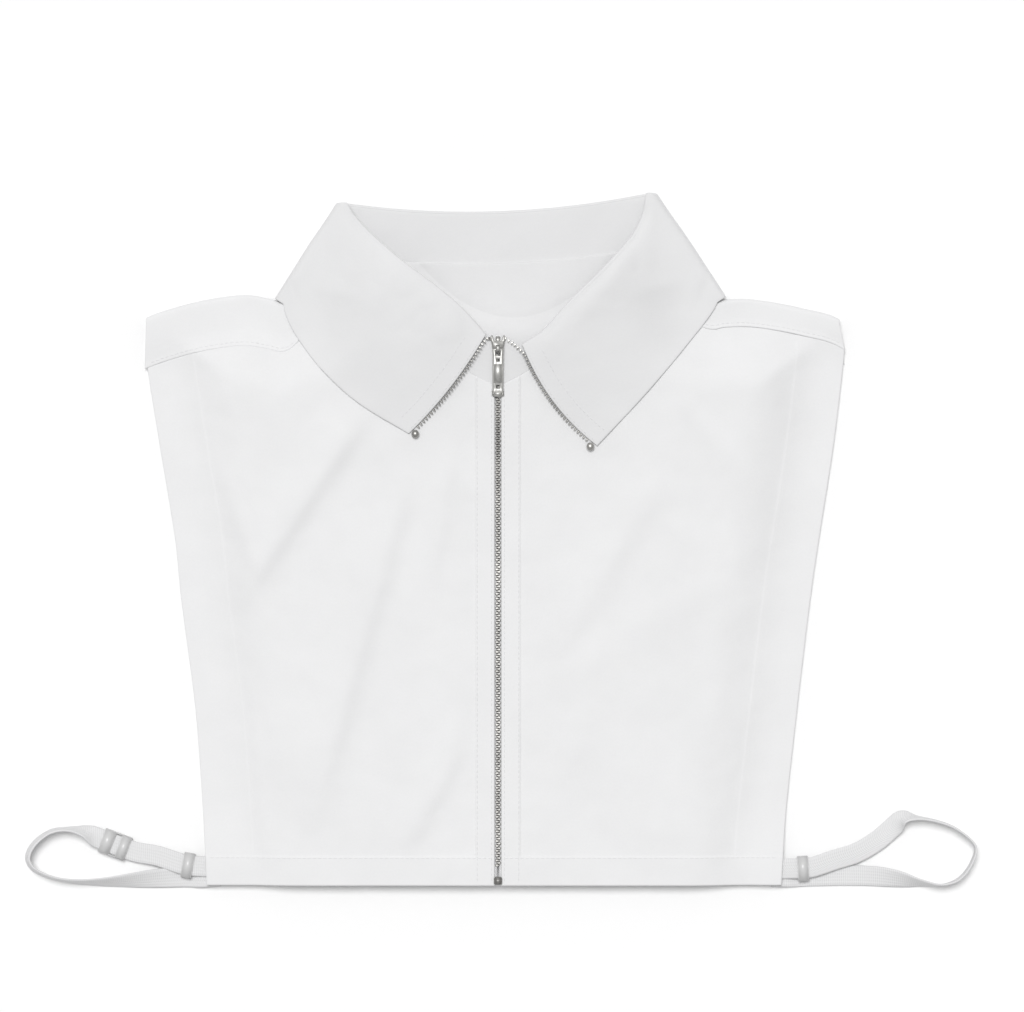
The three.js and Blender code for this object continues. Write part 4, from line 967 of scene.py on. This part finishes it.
# Zip slider and puller. The die-cast slider grips the two rows between an upper and a lower
# plate; a low bridge on it holds the pin of the pressed puller, which lies down the chain.
satin_nickel, shader = start_material("satin_nickel")
place = add_node(satin_nickel, "TexCoord").outputs["Object"]
brushed = add_node(satin_nickel, "TexNoise", {"Vector": place, "Scale": 180, "Detail": 4})
dull, bright = (0.62, 0.615, 0.595), (0.74, 0.735, 0.71)
connect(satin_nickel, shader, {
    "Base Color": tone_ramp(satin_nickel, brushed.outputs["Fac"], dull, bright),
    "Metallic": 1.0,
    "Roughness": 0.52,
})

SLIDER_HALF = 3.8
SLIDER_PLATE = 1.2
TEETH_THICK = 2.0
slider_z = float(front_z(0, NECK_FRONT_Y))
plate_z = slider_z + TEETH_THICK / 4 + RUN_GAP + 0.2
PIN_HALF = 0.5
PULLER_THICK = 1.1
PULLER_LENGTH = 24.6
PULLER_HALF = 2.8
BRIDGE_OPEN = 2.65
pivot_y = SLIDER_LOW_Y + SLIDER_LENGTH * 0.16
pivot_z = plate_z + SLIDER_PLATE + RUN_GAP + 0.15 + PULLER_THICK / 2


def plate_from(outline, z0, z1, bevel, holes=()):
    """A pressed plate: an outline with square holes, raised from z0 to z1, edges rounded."""
    sheet = bmesh.new()
    loops = [outline, *holes]
    edges = []
    for loop in loops:
        corners = [sheet.verts.new((px, py, z0)) for px, py in loop]
        for k in range(len(corners)):
            edges.append(sheet.edges.new((corners[k - 1], corners[k])))
    bmesh.ops.triangle_fill(sheet, use_beauty=True, edges=edges)
    made = bmesh.ops.extrude_face_region(sheet, geom=sheet.faces[:])
    for item in made["geom"]:
        if isinstance(item, bmesh.types.BMVert):
            item.co.z = z1
    bmesh.ops.recalc_face_normals(sheet, faces=sheet.faces)
    rims = [e for e in sheet.edges if e.is_manifold and e.calc_face_angle(0) > 0.9]
    bmesh.ops.bevel(sheet, geom=rims, offset=bevel, segments=3, affect="EDGES")
    return points_and_faces(sheet)


def slider_outline(scale):
    low, top = SLIDER_LOW_Y, SLIDER_LOW_Y + SLIDER_LENGTH
    half = SLIDER_HALF * scale
    right = [(0.62, 0), (0.78, 0.06), (0.8, 0.35), (0.92, 0.62), (1, 0.84), (0.96, 0.97), (0.8, 1)]
    right = [(x * half, low + y * (top - low)) for x, y in right]
    throat = [(2.5, top - 0.7), (2.2, top - 2.6), (1.6, top - 3.0)]
    middle = throat + [(-x, y) for x, y in reversed(throat)]
    left = [(-x, y) for x, y in reversed(right)]
    return right + middle + left


slider_top = SLIDER_LOW_Y + SLIDER_LENGTH
under = slider_z - TEETH_THICK * 0.75 - RUN_GAP - 0.4
over = plate_z + SLIDER_PLATE
post_low = CHAIN_TOP_Y + 1.2
near_leg = pivot_y - PIN_HALF - RUN_GAP
far_leg = near_leg + BRIDGE_OPEN
roof = pivot_z + PULLER_THICK / 2 + RUN_GAP
parts = [
    plate_from(slider_outline(1.0), plate_z, over, 0.3),
    plate_from(slider_outline(0.85), under - SLIDER_PLATE, under, 0.3),
    rounded_bar(CHAIN_HALF * 0.9, post_low, slider_top - 0.7, under - 0.1, plate_z + 0.1, 0.3),
    rounded_bar(1.0, near_leg - 0.6, near_leg, over - 0.2, roof + 0.6, 0.18),
    rounded_bar(1.0, far_leg, far_leg + 0.6, over - 0.2, roof + 0.6, 0.18),
    rounded_bar(1.0, near_leg - 0.6, far_leg + 0.6, roof, roof + 0.6, 0.22),
]
slider = joined("nickel_slider", parts, satin_nickel, smooth=True)
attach(slider, "bib")
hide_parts("zip_slider")

h, n = PULLER_HALF, PULLER_LENGTH
flare = [(1, -0.86), (1.1, -0.88), (1.12, -0.96), (0.92, -0.995), (0.6, -1)]
right = [(h, 0.5)] + [(x * h, y * n) for x, y in flare]
outline = right + [(-x, y) for x, y in reversed(right)]
eye = [(-1.3, -0.5), (1.3, -0.5), (1.3, -3.45), (-1.3, -3.45)]
dot_hole = [(-0.85, -4.8), (0.85, -4.8), (0.85, -6.4), (-0.85, -6.4)]
slot_hole = [(-0.9, -0.75 * n), (0.9, -0.75 * n), (0.9, -0.83 * n), (-0.9, -0.83 * n)]
half = PULLER_THICK / 2
parts = [
    plate_from(outline, -half, half * 0.72, 0.2, [eye, dot_hole, slot_hole]),
    rounded_bar(0.78 * h, -0.71 * n, -0.3 * n, half * 0.4, half, 0.2),
    rounded_bar(0.9 * h, -0.98 * n, -0.9 * n, half * 0.4, half * 1.05, 0.25),
]
tip_z = float(front_z(0, pivot_y - PULLER_LENGTH)) + CLOTH / 2 + RUN_GAP + PULLER_THICK / 2
swing = math.atan2(pivot_z - tip_z, PULLER_LENGTH)
turned = []
for points, faces in parts:
    points = np.array(points)
    y = points[:, 1] * math.cos(swing) - points[:, 2] * math.sin(swing)
    z = points[:, 1] * math.sin(swing) + points[:, 2] * math.cos(swing)
    turned.append((np.column_stack([points[:, 0], y + pivot_y, z + pivot_z]), faces))
puller = joined("nickel_puller", turned, satin_nickel, smooth=True)
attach(puller, "puller")
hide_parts("zip_puller")

# Straps. White ribbed elastic 10 mm wide, sewn in at each hem corner; it runs out over the
# table, stands on its edge where it turns, and comes back under the corner.
STRAP_WIDTH = 10.4
STRAP_THICK = 1.2
STRAP_REACH = 92.0
STRAP_SPREAD = 31.0
RIB = 0.0011
CORD = 0.0016
STRAPS = {
    -1: {
        "out": (-0.08, 0.02, 0.12, 0.27, 0.4, 0.52, 0.61, 0.68, 0.77, 0.87, 0.96, 1, 0.965,
                0.86, 0.74, 0.6, 0.46, 0.31, 0.16, 0.09, 0.02, -0.08),
        "up": (0.3, 0.31, 0.34, 0.48, 0.55, 0.68, 0.79, 0.89, 0.93, 0.89, 0.7, 0.46, 0.26,
               0.12, 0.06, 0.05, 0.07, 0.1, 0.12, 0.12, 0.12, 0.14),
        "tilt": (0, 0, 0, 0, 0, 2, 18, 58, 83, 82, 77, 74, 75, 79, 76, 66, 50, 26, 4, 0, 0, 0),
        "lift": (0.32, 0.32, 0.33, 0.25, 0.18, 0.18, 0.14, 0.01, 0.01, 0.01, 0.01, 0.01, 0.01,
                 0.01, 0.01, 0.01, 0.01, 0.01, 0.01, 0.02, 0.145, 0.145),
    },
    1: {
        "out": (-0.06, 0.04, 0.16, 0.29, 0.42, 0.53, 0.62, 0.68, 0.76, 0.87, 0.98, 1.08, 1.06,
                0.99, 0.89, 0.77, 0.65, 0.52, 0.36, 0.18, 0.1, 0.03, -0.06),
        "up": (0.27, 0.27, 0.29, 0.41, 0.53, 0.72, 0.95, 1.12, 1.12, 1.06, 0.93, 0.66, 0.36,
               0.1, 0, 0.04, 0.1, 0.14, 0.15, 0.14, 0.13, 0.13, 0.13),
        "tilt": (0, 0, 0, 0, 0, 4, 14, 52, 84, 90, 90, 90, 90, 90, 84, 66, 34, 10, 0, 0, 0, 0, 0),
        "lift": (0.32, 0.32, 0.32, 0.24, 0.14, 0.06, 0.02, 0.01, 0.01, 0.01, 0.01, 0.01, 0.01,
                 0.01, 0.01, 0.01, 0.01, 0.01, 0.01, 0.01, 0.02, 0.145, 0.145),
    },
}
for strap_table in STRAPS.values():
    rows = len(strap_table["out"])
    strap_table["place"] = [k / (rows - 1) for k in range(rows)]

strap_elastic, shader = start_material("strap_elastic")
cut = add_node(strap_elastic, "UVMap", uv_map="cut").outputs["UV"]
sockets = {"Vector": cut, "Scale": WAVE_PERIOD / RIB, "Distortion": 0.6}
ribs = add_node(strap_elastic, "TexWave", sockets, bands_direction="X").outputs["Fac"]
sockets = {"Vector": cut, "Scale": WAVE_PERIOD / CORD}
cords = add_node(strap_elastic, "TexWave", sockets, bands_direction="Y").outputs["Fac"]
knit = maths(strap_elastic, "ADD", ribs, cords)
connect(strap_elastic, shader, {
    "Base Color": tone_ramp(strap_elastic, ribs, (0.70, 0.70, 0.705), (0.765, 0.765, 0.77)),
    "Normal": relief(strap_elastic, knit, 0.45, 0.0002),
    "Roughness": 0.75,
})


def strap_centre(side, place):
    value = {k: along(STRAPS[side], "place", place, k) for k in ("out", "up", "tilt", "lift")}
    tilt = np.radians(np.clip(value["tilt"], 0, 90))
    corner = float(armhole_x(side, HEM_Y + STRAP_SPREAD * 0.3))
    stands = STRAP_WIDTH / 2 * np.sin(tilt) + STRAP_THICK / 2 * np.cos(tilt)
    z = stands + STRAP_WIDTH * np.maximum(0.008, value["lift"])
    x = side * (corner + STRAP_REACH * value["out"])
    return np.stack([x, HEM_Y + STRAP_SPREAD * value["up"], z], -1), tilt


def strap_frame(side, place):
    place = np.asarray(place, float)
    centre, tilt = strap_centre(side, place)
    run = unit(strap_centre(side, place + 0.004)[0] - strap_centre(side, place - 0.004)[0])
    flat = unit(np.stack([-run[..., 1], run[..., 0], 0 * run[..., 0]], -1))
    width = flat * np.cos(tilt)[..., None]
    width[..., 2] = side * -np.sin(tilt)
    face = unit(np.cross(run, width))
    return centre, run, np.cross(face, run), face


for side in (-1, 1):
    centre, _, width, _ = strap_frame(side, np.linspace(0, 1, 420))
    across = np.linspace(-0.5, 0.5, 15) * STRAP_WIDTH
    middle = centre[:, None, :] + width[:, None, :] * across[None, :, None]
    middle[..., 2] = np.maximum(middle[..., 2], STRAP_THICK / 2 + 0.05)
    strap = cloth_mesh(
        f"elastic_strap_{hand(side)}",
        middle if side < 0 else middle[::-1],
        STRAP_THICK / 2,
        STRAP_THICK / 2,
        strap_elastic,
        edges=(0.45, 0.9),
    )
    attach(strap, "bib")
    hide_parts(f"strap_{hand(side)}")
    length = float(np.linalg.norm(np.diff(centre, axis=0), axis=1).sum()) * MM

# Strap rings and slide. White moulded nylon: a square ring that the elastic turns through at
# each corner, and a two-bar slide on the left strap that sets its length.
satin_nylon, shader = start_material("satin_nylon")
place = add_node(satin_nylon, "TexCoord").outputs["Object"]
grain = add_node(satin_nylon, "TexNoise", {"Vector": place, "Scale": 400}).outputs["Fac"]
connect(satin_nylon, shader, {
    "Base Color": tone_ramp(satin_nylon, grain, (0.60, 0.60, 0.60), (0.66, 0.66, 0.66)),
    "Normal": relief(satin_nylon, grain, 0.08, 0.0002),
    "Roughness": 0.32,
    "Specular IOR Level": 0.6,
})


NYLON_WALL = 0.75


def nylon_loop(name, side, place, length, room, node, bars):
    centre, run, width, face = strap_frame(side, place)
    half_x = STRAP_WIDTH / 2 + room
    half_z = STRAP_THICK / 2 + room
    wall = NYLON_WALL
    parts = []
    for sign in (-1, 1):
        for y0, y1 in bars:
            z = sign * (half_z + wall / 2)
            low, high = z - wall / 2, z + wall / 2
            parts.append(rounded_bar(half_x + wall, y0 * length, y1 * length, low, high, 0.38))
        ends, deep = length / 2, half_z + wall
        points, faces = rounded_bar(wall / 2, -ends, ends, -deep, deep, 0.3)
        shift = np.array([sign * (half_x + wall / 2), 0, 0])
        parts.append((np.array(points) + shift, faces))
    placed = []
    for points, faces in parts:
        p = np.array(points)
        p = centre + p[:, :1] * width + p[:, 1:2] * run + p[:, 2:] * face
        placed.append((p, faces))
    loop = joined(name, placed, satin_nylon, smooth=True)
    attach(loop, "bib")
    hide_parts(node)


nylon_loop("nylon_ring_left", -1, 0.088, 5.6, 0.5, "strap_ring_left", [(-0.5, 0.5)])
nylon_loop("nylon_ring_right", 1, 0.075, 5.6, 0.5, "strap_ring_right", [(-0.5, 0.5)])
nylon_loop(
    "nylon_slide_left", -1, 0.235, 14.6, 0.4, "strap_slide_left", [(-0.5, -0.14), (0.08, 0.5)]
)

# Stitches. White thread, 2 mm a stitch: the hem, both edges of the zip facing, the zip edges of
# the collar leaf and the pressed shoulder seams are topstitched through all the layers.
STITCH = 2.0
STITCH_GAP = 0.65
HEM_ROW = HEM_Y + 14.2
PLACKET_ROWS = (1.6, 9.0)
LEAF_ROWS = (1.3, 8.6)
SEAM_ROW = 1.4
THREAD_RADIUS = 0.15
THREAD_SIDES = 6
STITCH_RINGS = (
    {"way": 0, "sink": 0.12, "thick": 0.55},
    {"way": 0.3, "sink": -0.04, "thick": 0.95},
    {"way": 1.0, "sink": -0.09, "thick": 1.0},
    {"way": 1.7, "sink": -0.04, "thick": 0.95},
    {"way": 2.0, "sink": 0.12, "thick": 0.55},
)
thread_white, shader = start_material("thread_white")
place = add_node(thread_white, "TexCoord").outputs["Object"]
twist = add_node(thread_white, "TexWave", {"Vector": place, "Scale": 900}).outputs["Fac"]
connect(thread_white, shader, {
    "Base Color": tone_ramp(thread_white, twist, (0.70, 0.70, 0.705), (0.80, 0.80, 0.805)),
    "Roughness": 0.7,
})


def surface_of(piece):
    mesh = piece.data
    corners = [v.co.copy() for v in mesh.vertices]
    return BVHTree.FromPolygons(corners, [tuple(p.vertices) for p in mesh.polygons])


def stitch_line(surface, path):
    """Stitches along a path in plan, pressed into the top of a surface."""
    path = np.asarray(path, float)
    span = np.concatenate([[0], np.cumsum(np.linalg.norm(np.diff(path, axis=0), axis=1))])
    for at in np.arange(0.4, span[-1] - STITCH, STITCH + STITCH_GAP):
        rings = []
        for ring in STITCH_RINGS:
            x = np.interp(at + ring["way"], span, path[:, 0])
            y = np.interp(at + ring["way"], span, path[:, 1])
            hit = surface.ray_cast(Vector((x, y, 60)) * MM, Vector((0, 0, -1)))[0]
            if hit is None:
                break
            rings.append(np.array([x, y, hit.z / MM - ring["sink"]]))
        if len(rings) < len(STITCH_RINGS):
            continue
        run = unit(rings[-1] - rings[0])
        across = unit(np.cross(run, [0, 0, 1.0]))
        points = []
        for centre, ring in zip(rings, STITCH_RINGS):
            for k in range(THREAD_SIDES):
                turn = k * math.tau / THREAD_SIDES
                spoke = across * math.cos(turn) + UP * math.sin(turn)
                points.append(centre + spoke * THREAD_RADIUS * ring["thick"])
        yield points, ring_faces(len(STITCH_RINGS), THREAD_SIDES)


stitches = []
leaf_surface = surface_of(leaf)
for side in (-1, 1):
    front_surface_tree = surface_of(bpy.data.objects[f"cotton_front_{hand(side)}"])
    shoulder_tree = surface_of(bpy.data.objects[f"cotton_shoulder_{hand(side)}"])
    xs = np.linspace(3.0, float(armhole_x(side, HEM_ROW)) - 1.5, 200)
    hem_path = np.column_stack([side * xs, np.full(200, HEM_ROW)])
    stitches.extend(stitch_line(front_surface_tree, hem_path))
    ys = np.linspace(HEM_Y + 2, NECK_SEAM_Y + 4, 260)
    for offset in PLACKET_ROWS:
        placket_path = np.column_stack([np.full(260, side * (ZIP_EDGE + offset)), ys])
        stitches.extend(stitch_line(front_surface_tree, placket_path))
    inner = abs(CREASE[side]["neck"][0])
    xs = np.linspace(inner * 1.12, float(armhole_x(side, SHOULDER_Y - 26)) - 2, 160)
    seam_path = shoulder_seam_y(side, xs, FRONT_SEAM_DROP[side]) + SEAM_ROW
    stitches.extend(stitch_line(shoulder_tree, np.column_stack([side * xs, seam_path])))
    edge = leaf_line("front", side, 0.0)[len(ROLL_TURNS):, :2]
    run = unit(np.gradient(edge, axis=0))
    inward = np.column_stack([-run[:, 1], run[:, 0]])
    inward = inward if inward[10, 0] * side > 0 else -inward
    for offset in LEAF_ROWS:
        stitches.extend(stitch_line(leaf_surface, (edge + inward * offset)[2:-2]))
threads = joined("topstitching", stitches, thread_white, smooth=True)
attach(threads, "bib")
